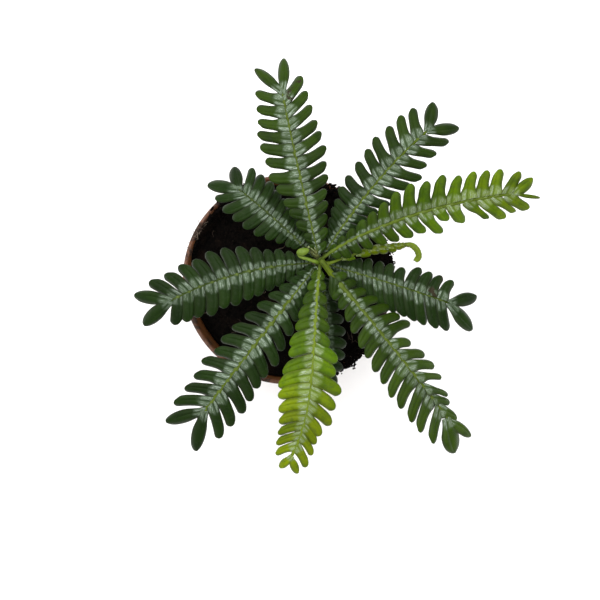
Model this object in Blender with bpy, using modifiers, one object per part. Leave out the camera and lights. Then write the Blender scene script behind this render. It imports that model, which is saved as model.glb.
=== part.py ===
"""A small potted plant: a flat, palm-like rosette of feathery leaves on a short bare stem, which
stands in a round nursery pot full of dark soil.

The origin is the centre of the pot's flat underside and +Z is up the pot's axis. Seen from
above, +X is to the right and +Y is up the page. Every length is in metres.
"""

import math

import bmesh
import bpy
from mathutils import Matrix, Vector

MM = 0.001
CLEARANCE = 0.3 * MM  # left between two pieces that touch

# Pot, turned about the origin
POT_SIDES = 48
POT_HEIGHT = 68 * MM
RIM_RADIUS = 38 * MM
RIM_LIP = 1.6 * MM
COLLAR_DEPTH = 12 * MM
COLLAR_TAPER = 0.4 * MM  # narrower at its foot than at the lip
SHOULDER_RADIUS = RIM_RADIUS - 2.2 * MM  # outside, right under the collar
BASE_RADIUS = 24.6 * MM
WALL = 1.2 * MM
FLOOR = 1.8 * MM
BASE_ROUNDING = 0.8 * MM
DRAIN_COUNT = 6
DRAIN_RADIUS = 2.75 * MM
DRAIN_CIRCLE = 16.5 * MM
CHANNEL_WIDTH = 3 * MM
CHANNEL_DEPTH = 0.9 * MM

# Soil, low on the left of the pot and heaped up to the rim on the right
SOIL_SIDES = 48  # as the pot's, so that the flats of the two line up
SOIL_MIDDLE = 62.4 * MM
SOIL_SLOPE = 3.9 * MM  # rise from the middle to the wall, on the high side
SOIL_HIGH_SIDE = math.radians(-20)
SOIL_MOUND = 1.6 * MM  # heaped up against the stem
SOIL_MOUND_SPREAD = 11 * MM
SOIL_RINGS = (0.2, 0.45, 0.72, 1.0)  # top of the soil, as shares of its radius

# Stem, from its buried end to the crown that the leaves spring from
STEM_SIDES = 14
STEM_ROUTE = (  # x, y, z and radius
    (4.6, 1.8, 48, 0.9),
    (4.8, 2.0, 54, 1.7),
    (5.2, 2.3, 62, 2.2),
    (6.2, 2.9, 71, 2.0),
    (7.6, 3.7, 80, 2.0),
    (8.5, 4.1, 87, 2.2),
    (8.7, 4.2, 92, 2.3),
    (8.7, 4.2, 96.6, 2.2),
    (8.7, 4.2, 98.2, 1.6),
    (8.7, 4.2, 99.0, 0.7),
)
CROWN = Vector((8.7, 4.2, 0)) * MM
CROWN_RADIUS = 2.3 * MM
LEAF_STALK_START = CROWN_RADIUS + 0.5 * MM  # from the stem's axis

# Leaf rachis and leaflets
RACHIS_WIDE = (0.8 * MM, 0.45 * MM, 0.26 * MM)  # half width at the foot, its end and the tip
RACHIS_TALL = (0.85 * MM, 0.55 * MM, 0.34 * MM)  # half height at the same places
THICK_FOOT_TO = 0.12  # share of the reach where the thick foot ends
RACHIS_END = 0.4 * MM  # past the last pair
BLADE = 0.46 * MM  # thickness of a leaflet
BLADE_SHARE = 0.93  # leaflet width as a share of the distance between two leaflets
BLADE_FOOT = 0.80  # width where the leaflet joins the rachis, as the same share
LAST_FOOT = 0.6  # and this much narrower on the last pair, which points forwards
BLADE_OUTLINE = ((0.38, 1.0), (0.80, 0.92), (0.98, 0.42))  # share of length, share of width
SPACING_GROWTH = 1.15  # above 1, the pairs stand closer together towards the crown
FIRST_PAIR = 6.6 * MM  # from the stem's axis
ANGLE_NEAR_CROWN = math.radians(86)  # between leaflet and rachis
ANGLE_NEAR_TIP = math.radians(66)
BANK_FULL_AT = 0.35  # share of the reach
SHORTER_FROM = 0.6  # leaflets get shorter from this share of the reach to the tip
BLADE_RISE = 0.08  # a leaflet leaves the rachis slightly upwards
BLADE_DROOP = 0.26  # and then bends down, as a share of its length
BLADE_SWEEP = 0.06  # and forwards

# How each leaf grows. heading: compass direction in degrees, from +X towards +Y. reach: from the
# stem's axis to the last pair. bow: sideways bend to the left, greatest at the share bow_at.
# foot: height where it springs from the stem. rise: height gained by the tip. arch: height of
# the bow above the straight line. blade: longest leaflet. young: share of that length that the
# first leaflets have, growing to full length at the share full_at. tip: share of it that the
# outermost leaflets have. bank: degrees that the left side is tipped down. last: leaflets of the
# last pair. fork: half the angle between those two, whose middle is turned by turn to the left.
LEAVES = {
    "leaf_top": dict(
        heading=103, reach=58, bow=1.0, bow_at=0.50, foot=95.0, rise=3.0, arch=5.4,
        pairs=14, blade=11.4, young=0.30, full_at=0.65, tip=0.86, bank=0,
        last=12.8, fork=26, turn=11,
    ),
    "leaf_upper_right": dict(
        heading=50.5, reach=57.8, bow=2.3, bow_at=0.50, foot=92.7, rise=3.0, arch=4.4,
        pairs=12, blade=10.8, young=0.40, full_at=0.65, tip=0.90, bank=0,
        last=11.4, fork=35, turn=-4,
    ),
    "leaf_right_lime": dict(
        heading=19, reach=67, bow=4.1, bow_at=0.42, foot=97.0, rise=7.0, arch=5.0,
        pairs=15, blade=10.6, young=0.42, full_at=0.50, tip=0.80, bank=-32,
        last=9.6, fork=23, turn=4,
    ),
    "leaf_right_low": dict(
        heading=-17, reach=47.5, bow=0.0, bow_at=0.50, foot=90.4, rise=0.0, arch=4.2,
        pairs=12, blade=10.2, young=0.40, full_at=0.80, tip=0.96, bank=0,
        last=12.4, fork=31, turn=0,
    ),
    "leaf_lower_right": dict(
        heading=-51, reach=67.5, bow=0.0, bow_at=0.50, foot=94.1, rise=2.0, arch=5.0,
        pairs=14, blade=11.4, young=0.35, full_at=0.70, tip=0.90, bank=28,
        last=12.2, fork=21, turn=-10,
    ),
    "leaf_bottom_lime": dict(
        heading=-99, reach=64, bow=2.4, bow_at=0.72, foot=96.0, rise=5.0, arch=6.3,
        pairs=15, blade=11.6, young=0.42, full_at=0.45, tip=0.55, bank=0,
        last=6.0, fork=30, turn=14,
    ),
    "leaf_shaded_small": dict(
        heading=-84, reach=37.5, bow=1.2, bow_at=0.35, foot=88.0, rise=-8.0, arch=3.0,
        pairs=9, blade=6.8, young=0.45, full_at=0.60, tip=0.85, bank=0,
        last=6.4, fork=34, turn=0,
    ),
    "leaf_lower_left": dict(
        heading=-127.5, reach=64.5, bow=-0.4, bow_at=0.60, foot=93.0, rise=1.0, arch=4.6,
        pairs=14, blade=11.4, young=0.42, full_at=0.70, tip=0.94, bank=0,
        last=11.4, fork=39, turn=-15,
    ),
    "leaf_left": dict(
        heading=-164.5, reach=53.4, bow=-3.1, bow_at=0.52, foot=89.0, rise=0.5, arch=4.0,
        pairs=13, blade=10.6, young=0.50, full_at=0.50, tip=0.86, bank=0,
        last=11.8, fork=30, turn=-20,
    ),
    "leaf_upper_left": dict(
        heading=137.5, reach=37.4, bow=-0.2, bow_at=0.50, foot=91.7, rise=-3.5, arch=4.0,
        pairs=11, blade=9.8, young=0.45, full_at=0.60, tip=0.95, bank=0,
        last=9.4, fork=42, turn=1,
    ),
}

# Youngest leaf, its leaflets still folded down and its tip still curled. Points from the stem's
# axis, with heights from the ground.
YOUNG_ROUTE = (
    (2.6, -1.0, 95.4),
    (6.6, 0.0, 96.4),
    (12.0, 1.4, 97.0),
    (17.0, 2.9, 97.2),
    (22.5, 4.0, 97.4),
    (26.4, 5.2, 97.6),
    (29.4, 5.4, 97.6),
    (31.6, 3.8, 97.0),
    (32.4, 1.6, 96.0),
    (31.2, 0.2, 95.4),
)
YOUNG_WIDE = (0.7 * MM, 0.5 * MM, 0.5 * MM)
YOUNG_TALL = (0.75 * MM, 0.55 * MM, 0.55 * MM)
YOUNG_PAIRS = 11
YOUNG_LEAVES_FROM = 0.14  # share of the route
YOUNG_LEAVES_TO = 0.74
YOUNG_BLADE = 3.0 * MM
YOUNG_END_BLADE = 0.75  # share of that length that the first and the last leaflets have
YOUNG_FOLD = math.radians(52)

# Flower bud on its stalk
BUD_STALK_RADIUS = 0.5 * MM
BUD_STALK_SIDES = 8
BUD_STALK_ROUTE = ((6.5, 5.2, 97.6), (5.2, 5.7, 98.4), (3.9, 6.2, 98.9))
BUD_FROM = Vector((4.2, 6.05, 98.8)) * MM
BUD_TO = Vector((0.6, 7.9, 99.4)) * MM
BUD_RADIUS = 1.35 * MM


def clear_scene():
    for thing in list(bpy.data.objects):
        bpy.data.objects.remove(thing, do_unlink=True)


def collection(name):
    group = bpy.data.collections.new(name)
    bpy.context.scene.collection.children.link(group)
    return group


def material(name, color, roughness):
    made = bpy.data.materials.new(name)
    made.use_nodes = True
    surface = made.node_tree.nodes["Principled BSDF"]
    surface.inputs["Base Color"].default_value = (*color, 1)
    surface.inputs["Roughness"].default_value = roughness
    surface.inputs["Metallic"].default_value = 0
    made.diffuse_color = (*color, 1)
    return made


def add_object(name, mesh, group, finish=None):
    made = bpy.data.objects.new(name, mesh)
    group.objects.link(made)
    if finish:
        made.data.materials.append(finish)
        made.data.shade_smooth()
        made.data.set_sharp_from_angle(angle=math.radians(35))
    return made


def mesh_from(bm, name):
    bmesh.ops.recalc_face_normals(bm, faces=bm.faces[:])
    mesh = bpy.data.meshes.new(name)
    bm.to_mesh(mesh)
    bm.free()
    return mesh


def turned_mesh(name, profile, sides):
    """A solid of revolution. The profile runs from the axis, down its outer side, to the axis."""
    outline = bpy.data.meshes.new(name)
    edges = [(i, i + 1) for i in range(len(profile) - 1)]
    outline.from_pydata([(r, 0, z) for r, z in profile], edges, [])
    lathe = bpy.data.objects.new(name, outline)
    bpy.context.scene.collection.objects.link(lathe)
    screw = lathe.modifiers.new("turn", "SCREW")
    screw.steps = sides
    screw.render_steps = sides
    screw.use_merge_vertices = True
    screw.merge_threshold = 0.01 * MM
    return applied_mesh(lathe)


def applied_mesh(source):
    """The object's mesh with its modifiers applied. The object itself is removed."""
    graph = bpy.context.evaluated_depsgraph_get()
    mesh = bpy.data.meshes.new_from_object(source.evaluated_get(graph))
    mesh.transform(source.matrix_world)
    bpy.data.objects.remove(source, do_unlink=True)
    return mesh


def tube_mesh(name, points, radii, sides):
    """A round bar through the points, its thickness following the radii, closed at both ends."""
    bm = bmesh.new()
    first = bmesh.ops.create_circle(bm, cap_ends=True, radius=1, segments=sides)
    face = first["verts"][0].link_faces[0]
    ring = [vert.co.copy() for vert in face.verts]
    for i, (point, radius) in enumerate(zip(points, radii)):
        ahead = points[min(i + 1, len(points) - 1)] - points[max(i - 1, 0)]
        turn = Vector((0, 0, 1)).rotation_difference(ahead)
        if i:
            face = extruded(bm, face)
        for vert, corner in zip(face.verts, ring):
            vert.co = point + turn @ (corner * radius)
    close_start(bm)
    return mesh_from(bm, name)


def extruded(bm, face):
    """The face at the end of a new extrusion, its corners in the old order."""
    return bmesh.ops.extrude_discrete_faces(bm, faces=[face])["faces"][0]


def close_start(bm):
    """Fills the end that the first extrusion left open."""
    open_edges = [edge for edge in bm.edges if edge.is_boundary]
    bmesh.ops.holes_fill(bm, edges=open_edges)


def combine(base, tool, operation):
    """Boolean of the base with a tool, which is only kept as a wire cage."""
    tool.hide_render = True
    tool.display_type = "WIRE"
    boolean = base.modifiers.new(tool.name, "BOOLEAN")
    boolean.operation = operation
    boolean.solver = "EXACT"
    boolean.object = tool


def inner_radius(z):
    """Radius of the pot's inner wall at height z."""
    under_collar = POT_HEIGHT - COLLAR_DEPTH
    ledge_radius = SHOULDER_RADIUS - WALL
    rim_radius = RIM_RADIUS - RIM_LIP
    if z > under_collar:
        share = (z - under_collar) / COLLAR_DEPTH
        return ledge_radius + share * (rim_radius - ledge_radius)
    return BASE_RADIUS - WALL + z / under_collar * (ledge_radius - BASE_RADIUS + WALL)


def pot_profile():
    """From the floor's centre up the inner wall, over the lip and down the outside."""
    lip_middle = RIM_RADIUS - RIM_LIP / 2
    lip_bend = RIM_LIP / 2
    under_collar = POT_HEIGHT - COLLAR_DEPTH
    inside = [(0, FLOOR), (inner_radius(FLOOR) - BASE_ROUNDING, FLOOR)]
    inside.append((inner_radius(FLOOR + BASE_ROUNDING), FLOOR + BASE_ROUNDING))
    inside.append((inner_radius(under_collar), under_collar))
    lip = []
    for step in range(5):
        angle = math.pi - step * math.pi / 4
        across = lip_middle + lip_bend * math.cos(angle)
        lip.append((across, POT_HEIGHT - lip_bend + lip_bend * math.sin(angle)))
    collar_foot = RIM_RADIUS - COLLAR_TAPER
    outside = [(collar_foot, under_collar + BASE_ROUNDING)]
    outside.append((collar_foot - BASE_ROUNDING, under_collar))
    outside.append((SHOULDER_RADIUS, under_collar))
    outside.append((BASE_RADIUS, BASE_ROUNDING))
    outside.append((BASE_RADIUS - BASE_ROUNDING, 0))
    return inside + lip + outside + [(0, 0)]


def make_pot(group, cutters):
    """Thin plastic shell with a deeper collar, drain holes and the channels that empty them."""
    shell = turned_mesh("pot", pot_profile(), POT_SIDES)
    pot = add_object("pot", shell, group, material("pot", (0.21, 0.075, 0.035), 0.6))
    bm = bmesh.new()
    for i in range(DRAIN_COUNT):
        around = Matrix.Rotation((i + 0.5) * math.tau / DRAIN_COUNT, 4, "Z")
        hole = around @ Matrix.Translation((DRAIN_CIRCLE, 0, 0))
        bmesh.ops.create_cone(
            bm, cap_ends=True, segments=16, radius1=DRAIN_RADIUS, radius2=DRAIN_RADIUS,
            depth=4 * FLOOR, matrix=hole,
        )
    holes = add_object("drain_holes", mesh_from(bm, "drain_holes"), cutters)
    combine(pot, holes, "DIFFERENCE")
    bm = bmesh.new()
    reach = RIM_RADIUS - DRAIN_CIRCLE
    for i in range(DRAIN_COUNT):
        around = Matrix.Rotation((i + 0.5) * math.tau / DRAIN_COUNT, 4, "Z")
        middle = Matrix.Translation((DRAIN_CIRCLE + reach / 2, 0, 0))
        size = Matrix.Diagonal((reach, CHANNEL_WIDTH, 2 * CHANNEL_DEPTH, 1))
        bmesh.ops.create_cube(bm, size=1, matrix=around @ middle @ size)
    channels = add_object("drain_channels", mesh_from(bm, "drain_channels"), cutters)
    combine(pot, channels, "DIFFERENCE")
    return pot


def soil_height(x, y):
    """Height of the soil's surface: a slope up to the high side, and a low mound at the stem."""
    across = x * math.cos(SOIL_HIGH_SIDE) + y * math.sin(SOIL_HIGH_SIDE)
    from_stem = math.hypot(x - STEM_ROUTE[2][0] * MM, y - STEM_ROUTE[2][1] * MM)
    mound = SOIL_MOUND * math.exp(-((from_stem / SOIL_MOUND_SPREAD) ** 2))
    return SOIL_MIDDLE + SOIL_SLOPE * across / RIM_RADIUS + mound


def soil_radius(z):
    return inner_radius(z) - CLEARANCE


def make_soil(group, cutters):
    """Everything in the pot, just clear of its wall and floor, with a socket for the stem."""
    bottom = FLOOR + CLEARANCE
    corner = soil_radius(bottom + BASE_ROUNDING)
    profile = [(0, SOIL_MIDDLE)]
    profile += [(share * soil_radius(SOIL_MIDDLE), SOIL_MIDDLE) for share in SOIL_RINGS]
    wall_bend = POT_HEIGHT - COLLAR_DEPTH
    profile.append((soil_radius(wall_bend), wall_bend))
    profile.append((corner, bottom + BASE_ROUNDING))
    profile.append((corner - BASE_ROUNDING, bottom))
    profile.append((0, bottom))
    mesh = turned_mesh("soil", profile, SOIL_SIDES)
    for vert in mesh.vertices:
        if vert.co.z < SOIL_MIDDLE - 0.01 * MM:
            continue
        share = vert.co.xy.length / soil_radius(SOIL_MIDDLE)
        vert.co.z = soil_height(vert.co.x, vert.co.y)
        if share:
            vert.co.xy = vert.co.xy.normalized() * share * soil_radius(vert.co.z)
    soil = add_object("soil", mesh, group, material("soil", (0.012, 0.009, 0.007), 0.95))
    points = [Vector(row[:3]) * MM for row in STEM_ROUTE[:4]]
    points[0] -= Vector((0, 0, CLEARANCE))
    radii = [row[3] * MM + CLEARANCE for row in STEM_ROUTE[:4]]
    socket = tube_mesh("root_socket", points, radii, STEM_SIDES)
    combine(soil, add_object("root_socket", socket, cutters), "DIFFERENCE")
    return soil


def make_stem(group):
    """Bare woody stem with its buried end and the crown that carries the leaves."""
    points = [Vector(row[:3]) * MM for row in STEM_ROUTE]
    radii = [row[3] * MM for row in STEM_ROUTE]
    mesh = tube_mesh("stem", points, radii, STEM_SIDES)
    return add_object("stem", mesh, group, material("stem", (0.10, 0.085, 0.03), 0.7))


def rachis_point(habit, share):
    """Point on a leaf's rachis, from the stem's axis at 0 to the last pair at 1."""
    heading = math.radians(habit["heading"])
    ahead = Vector((math.cos(heading), math.sin(heading), 0))
    left = Vector((-ahead.y, ahead.x, 0))
    skew = math.log(0.5) / math.log(habit["bow_at"])
    bent = share**skew
    bow = habit["bow"] * 4 * bent * (1 - bent)
    height = habit["foot"] + habit["rise"] * share + habit["arch"] * 4 * share * (1 - share)
    return CROWN + (ahead * habit["reach"] * share + left * bow) * MM + Vector((0, 0, height * MM))


def smooth_point(route, share):
    """Point on the smooth curve through a route's own points, at a share of its length."""
    place = max(0.0, min(share, 1.0)) * (len(route) - 1)
    i = min(int(place), len(route) - 2)
    t = place - i
    a, b = route[max(i - 1, 0)], route[i]
    c, d = route[i + 1], route[min(i + 2, len(route) - 1)]
    straight = 2 * b + (c - a) * t
    bend = (2 * a - 5 * b + 4 * c - d) * t**2 + (3 * b - a - 3 * c + d) * t**3
    return (straight + bend) / 2


def frame_at(place, share, bank):
    """Position, direction, left side and upper side of a rachis at a share of its length. The
    bank comes in gradually."""
    step = 0.002
    ahead = (place(share + step) - place(share - step)).normalized()
    left = Vector((0, 0, 1)).cross(ahead).normalized()
    up = ahead.cross(left)
    tip = Matrix.Rotation(-math.radians(bank * min(1, share / BANK_FULL_AT)), 3, ahead)
    return place(share), ahead, tip @ left, tip @ up


def between(values, share):
    """Value at a share from 0 to 1, from those at the foot, where the foot ends and at the tip."""
    foot, first, last = values
    if share < THICK_FOOT_TO:
        return foot + (first - foot) * share / THICK_FOOT_TO
    return first + (last - first) * (share - THICK_FOOT_TO) / (1 - THICK_FOOT_TO)


def rachis_section(wide, tall):
    """Six corners, left and up from the middle, with an upright face on each side."""
    edge = BLADE / 2
    return (
        (wide, edge), (0, tall), (-wide, edge), (-wide, -edge), (0, -tall), (wide, -edge),
    )


def leaf_mesh(name, place, pairs, start, end, wide, tall, bank=0, fold=0):
    """One closed body: a six-sided rachis with two leaflets pushed out of it at each pair.

    place gives a point for a share of the length. Each pair is (share, half the foot's width as
    a share, blade width, blade length, (left, right) angles to the rachis)."""
    stops = [(start, None)]
    for pair in pairs:
        stops += [(pair[0] - pair[1], None), (pair[0] + pair[1], pair)]
    if end > stops[-1][0]:
        stops.append((end, None))
    bm = bmesh.new()
    first = bmesh.ops.create_circle(bm, cap_ends=True, radius=1, segments=6)
    face = first["verts"][0].link_faces[0]
    leaflets = []
    for i, (share, pair) in enumerate(stops):
        middle, ahead, left, up = frame_at(place, share, bank)
        section = rachis_section(between(wide, share), between(tall, share))
        if i:
            face = extruded(bm, face)
        for vert, (across, above) in zip(face.verts, section):
            vert.co = middle + left * across + up * above
        if pair:
            leaflets += [(side_face(face, side), side, pair) for side in (1, -1)]
    for root, side, pair in leaflets:
        push_leaflet(bm, root, side, pair, frame_at(place, pair[0], bank), fold)
    close_start(bm)
    return mesh_from(bm, name)


def side_face(end, side):
    """The upright face behind the end face, on its left for side 1 and its right for -1."""
    corners = (5, 0) if side == 1 else (2, 3)
    edge_ends = {end.verts[corners[0]], end.verts[corners[1]]}
    edge = next(e for e in end.edges if set(e.verts) == edge_ends)
    return next(face for face in edge.link_faces if face is not end)


def push_leaflet(bm, root, side, pair, frame, fold):
    """Extrudes a leaflet from a face of the rachis, widening, drooping and then rounding off."""
    _, _, width, length, angles = pair
    angle = angles[0 if side == 1 else 1]
    middle, ahead, left, up = frame
    foot = root.calc_center_median()
    outward = left * side * math.cos(fold) - up * math.sin(fold)
    above = up * math.cos(fold) + left * side * math.sin(fold)
    along = outward * math.sin(angle) + ahead * math.cos(angle)
    forward = ahead * math.sin(angle) - outward * math.cos(angle)
    signs = []
    for vert in root.verts:
        offset = vert.co - foot
        signs.append((1 if offset.dot(ahead) > 0 else -1, 1 if offset.dot(up) > 0 else -1))
    face = root
    for share, breadth in BLADE_OUTLINE:
        face = extruded(bm, face)
        lift = BLADE_RISE * share - BLADE_DROOP * share**2
        centre = foot + (along * share + above * lift + forward * BLADE_SWEEP * share**2) * length
        slope = BLADE_RISE - 2 * BLADE_DROOP * share
        normal = (above - along * slope).normalized()
        for vert, (front, top) in zip(face.verts, signs):
            half = forward * front * width * breadth / 2
            vert.co = centre + half + normal * top * BLADE / 2


def leaf_pairs(habit):
    """Where the pairs stand on a full-grown leaf, and the size and angle of their leaflets."""
    reach = habit["reach"] * MM
    count = habit["pairs"]
    begin = FIRST_PAIR / reach
    shares = [
        begin + (1 - begin) * (i / (count - 1)) ** SPACING_GROWTH for i in range(count)
    ]
    pairs = []
    for i, share in enumerate(shares):
        behind = shares[i] - shares[i - 1] if i else shares[1] - shares[0]
        before = shares[i + 1] - shares[i] if i < count - 1 else behind
        spacing = min(behind, before)
        grown = min(1, share / habit["full_at"])
        outer = max(0, (share - SHORTER_FROM) / (1 - SHORTER_FROM))
        length = habit["blade"] * MM * (habit["young"] + (1 - habit["young"]) * grown)
        length *= 1 - (1 - habit["tip"]) * outer
        angle = ANGLE_NEAR_CROWN + (ANGLE_NEAR_TIP - ANGLE_NEAR_CROWN) * share**2
        width = BLADE_SHARE * spacing * reach
        pairs.append((share, BLADE_FOOT * spacing / 2, width, length, (angle, angle)))
    share, foot, width, _, _ = pairs[-1]
    fork = (math.radians(habit["fork"] + habit["turn"]), math.radians(habit["fork"] - habit["turn"]))
    pairs[-1] = (share, foot * LAST_FOOT, width, habit["last"] * MM, fork)
    return pairs


def make_leaf(name, habit, group, finish):
    """A full-grown leaf, whose stalk ends just clear of the stem."""
    pairs = leaf_pairs(habit)
    start = LEAF_STALK_START / (habit["reach"] * MM)
    end = pairs[-1][0] + pairs[-1][1] + RACHIS_END / (habit["reach"] * MM)
    mesh = leaf_mesh(
        name, lambda share: rachis_point(habit, share), pairs, start, end,
        RACHIS_WIDE, RACHIS_TALL, habit["bank"],
    )
    return add_object(name, mesh, group, finish)


def make_young_leaf(group, finish):
    """The youngest leaf, folded and curled."""
    route = [CROWN + Vector(point) * MM for point in YOUNG_ROUTE]
    length = sum((b - a).length for a, b in zip(route, route[1:]))
    spacing = (YOUNG_LEAVES_TO - YOUNG_LEAVES_FROM) / (YOUNG_PAIRS - 1)
    pairs = []
    for i in range(YOUNG_PAIRS):
        share = YOUNG_LEAVES_FROM + i * spacing
        middling = math.sin(math.pi * i / (YOUNG_PAIRS - 1))
        grown = YOUNG_END_BLADE + (1 - YOUNG_END_BLADE) * middling
        width = BLADE_SHARE * spacing * length
        foot = BLADE_FOOT * spacing / 2
        angles = (ANGLE_NEAR_TIP, ANGLE_NEAR_TIP)
        pairs.append((share, foot, width, YOUNG_BLADE * grown, angles))
    mesh = leaf_mesh(
        "leaf_young_curled", lambda share: smooth_point(route, share), pairs, 0, 1,
        YOUNG_WIDE, YOUNG_TALL, fold=YOUNG_FOLD,
    )
    return add_object("leaf_young_curled", mesh, group, finish)


def make_bud(group, cutters):
    """Closed flower bud on a short stalk from the crown."""
    finish = material("bud", (0.30, 0.42, 0.05), 0.45)
    stalk_points = [Vector(point) * MM for point in BUD_STALK_ROUTE]
    radii = [BUD_STALK_RADIUS] * len(stalk_points)
    stalk_mesh = tube_mesh("bud_stalk", stalk_points, radii, BUD_STALK_SIDES)
    stalk = add_object("bud_stalk", stalk_mesh, cutters)
    bm = bmesh.new()
    axis = BUD_TO - BUD_FROM
    turn = Vector((0, 0, 1)).rotation_difference(axis).to_matrix().to_4x4()
    size = Matrix.Diagonal((BUD_RADIUS, BUD_RADIUS, axis.length / 2, 1))
    place = Matrix.Translation((BUD_FROM + BUD_TO) / 2) @ turn @ size
    bmesh.ops.create_uvsphere(bm, u_segments=12, v_segments=8, radius=1, matrix=place)
    bud = add_object("flower_bud", mesh_from(bm, "flower_bud"), group, finish)
    combine(bud, stalk, "UNION")
    return bud


def build():
    clear_scene()
    parts = collection("potted_plant")
    cutters = collection("cutters")
    make_pot(parts, cutters)
    make_stem(parts)
    make_soil(parts, cutters)
    dark = material("leaf_dark", (0.035, 0.085, 0.018), 0.4)
    lime = material("leaf_lime", (0.16, 0.32, 0.012), 0.4)
    for name, habit in LEAVES.items():
        make_leaf(name, habit, parts, lime if "lime" in name else dark)
    make_young_leaf(parts, lime)
    make_bud(parts, cutters)


build()
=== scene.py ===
import math
import random

import bmesh
import bpy
from mathutils import Matrix, Vector, noise


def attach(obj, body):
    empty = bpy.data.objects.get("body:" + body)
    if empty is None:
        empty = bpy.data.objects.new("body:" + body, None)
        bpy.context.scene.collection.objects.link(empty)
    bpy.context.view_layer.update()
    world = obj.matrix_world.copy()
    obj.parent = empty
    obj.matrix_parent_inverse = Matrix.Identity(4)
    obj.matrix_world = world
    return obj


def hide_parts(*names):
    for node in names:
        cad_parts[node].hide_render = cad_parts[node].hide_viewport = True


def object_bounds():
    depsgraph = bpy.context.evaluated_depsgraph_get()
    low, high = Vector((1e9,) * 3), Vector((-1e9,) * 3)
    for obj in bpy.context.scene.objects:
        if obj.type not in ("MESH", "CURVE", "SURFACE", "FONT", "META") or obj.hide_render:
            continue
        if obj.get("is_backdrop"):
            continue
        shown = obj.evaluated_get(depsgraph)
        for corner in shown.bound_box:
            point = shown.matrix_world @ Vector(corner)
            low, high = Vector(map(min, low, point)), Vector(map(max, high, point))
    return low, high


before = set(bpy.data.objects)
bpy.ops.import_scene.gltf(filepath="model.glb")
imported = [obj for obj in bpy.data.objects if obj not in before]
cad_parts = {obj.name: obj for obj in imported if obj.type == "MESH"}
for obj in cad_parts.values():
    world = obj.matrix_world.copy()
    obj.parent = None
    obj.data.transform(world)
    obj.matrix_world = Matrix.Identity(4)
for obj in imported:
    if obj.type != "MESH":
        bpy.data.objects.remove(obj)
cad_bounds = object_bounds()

# ------------------------------------------------------------
# Pot. A thin-walled nursery pot, injection moulded in brick-brown plastic, with a deeper collar,
# a rounded lip and six drain holes whose channels run out under the foot. Potting soil has dried
# onto the collar and the lip.

MM = 0.001
POT_SIDES = 144
POT_HEIGHT = 68 * MM
RIM_RADIUS = 38 * MM
COLLAR_FOOT = 56 * MM
POT_PROFILE = (  # radius and height in mm, from the floor's middle over the lip to the underside
    (0, 1.8), (6, 1.8), (12, 1.8), (18, 1.8), (22.3, 1.8), (23.0, 2.0), (23.5, 2.6), (24.0, 5.0),
    (26.6, 18), (29.3, 31), (31.9, 43.5), (34.2, 54.4), (34.6, 55.6), (34.9, 56.6), (35.3, 59),
    (35.8, 63), (36.3, 66.6), (36.42, 67.2), (36.66, 67.66), (37.0, 67.92), (37.4, 68),
    (37.74, 67.9), (37.96, 67.6), (38.0, 67.2), (37.96, 66.8), (37.8, 66.45), (37.72, 66.1),
    (37.7, 65.6), (37.66, 62), (37.6, 57.6), (37.52, 56.6), (37.2, 56.1), (36.8, 56.0),
    (36.1, 56.0), (35.8, 55.8), (35.66, 55.4), (33.2, 43.4), (30.6, 30.4), (27.9, 17.4),
    (26.1, 8.2), (25.75, 6.6), (25.7, 6.0), (25.5, 5.4), (24.75, 1.4), (24.6, 0.8),
    (24.3, 0.25), (23.8, 0), (20, 0), (14, 0), (7, 0), (0, 0),
)
DRAIN_HOLES = 6
DRAIN_RADIUS = 2.75 * MM
DRAIN_CIRCLE = 16.5 * MM
CHANNEL_WIDTH = 3 * MM
CHANNEL_DEPTH = 0.9 * MM


def place(kind, inputs, **options):
    """Puts a node in the tree of the sockets that feed it, and gives it options and inputs."""
    tree = next(v for v in inputs.values() if isinstance(v, bpy.types.NodeSocket)).id_data
    made = tree.nodes.new("ShaderNode" + kind)
    for key, value in options.items():
        setattr(made, key, value)
    for key, value in inputs.items():
        if isinstance(value, bpy.types.NodeSocket):
            tree.links.new(value, made.inputs[key])
        else:
            made.inputs[key].default_value = value
    return made


def mottle(where, scale, detail=4, roughness=0.55, distortion=0):
    """Cloudy noise between 0 and 1."""
    values = {"Vector": where, "Scale": scale, "Detail": detail, "Roughness": roughness}
    values["Distortion"] = distortion
    return place("TexNoise", values).outputs["Fac"]


def sums(operation, *values):
    return place("Math", dict(enumerate(values)), operation=operation).outputs[0]


def scaled(value, factor, added=0, clamp=False):
    """The value times a factor, and something added to that."""
    inputs = {0: value, 1: factor, 2: added}
    return place("Math", inputs, operation="MULTIPLY_ADD", use_clamp=clamp).outputs[0]


def one_less(value):
    return sums("SUBTRACT", 1, value)


def mask(value, low, high):
    """0 below low and 1 above high, with a soft step between them."""
    inputs = {"Value": value, "From Min": low, "From Max": high}
    return place("MapRange", inputs, interpolation_type="SMOOTHSTEP").outputs["Result"]


def tint(share, first, second, blend="MIX"):
    """Colour that goes from the first to the second with the share."""
    first, second = [(*c, 1) if isinstance(c, tuple) else c for c in (first, second)]
    inputs = {0: share, 6: first, 7: second}
    return place("Mix", inputs, data_type="RGBA", blend_type=blend).outputs[2]


def stretched(where, *scale):
    return place("Mapping", {"Vector": where, "Scale": scale}).outputs[0]


def height_of(where):
    return place("SeparateXYZ", {0: where}).outputs["Z"]


def new_group(name, takes):
    """A shader node group that takes numbers and a place, which is called Vector."""
    group = bpy.data.node_groups.new(name, "ShaderNodeTree")
    for key in takes:
        kind = "NodeSocketVector" if key == "Vector" else "NodeSocketFloat"
        group.interface.new_socket(key, in_out="INPUT", socket_type=kind)
    return group, group.nodes.new("NodeGroupInput").outputs


def give_out(group, **masks):
    """Names what a group gives out, and links it."""
    for key in masks:
        group.interface.new_socket(key, in_out="OUTPUT", socket_type="NodeSocketFloat")
    leave = group.nodes.new("NodeGroupOutput").inputs
    for key, value in masks.items():
        group.links.new(value, leave[key])


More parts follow.
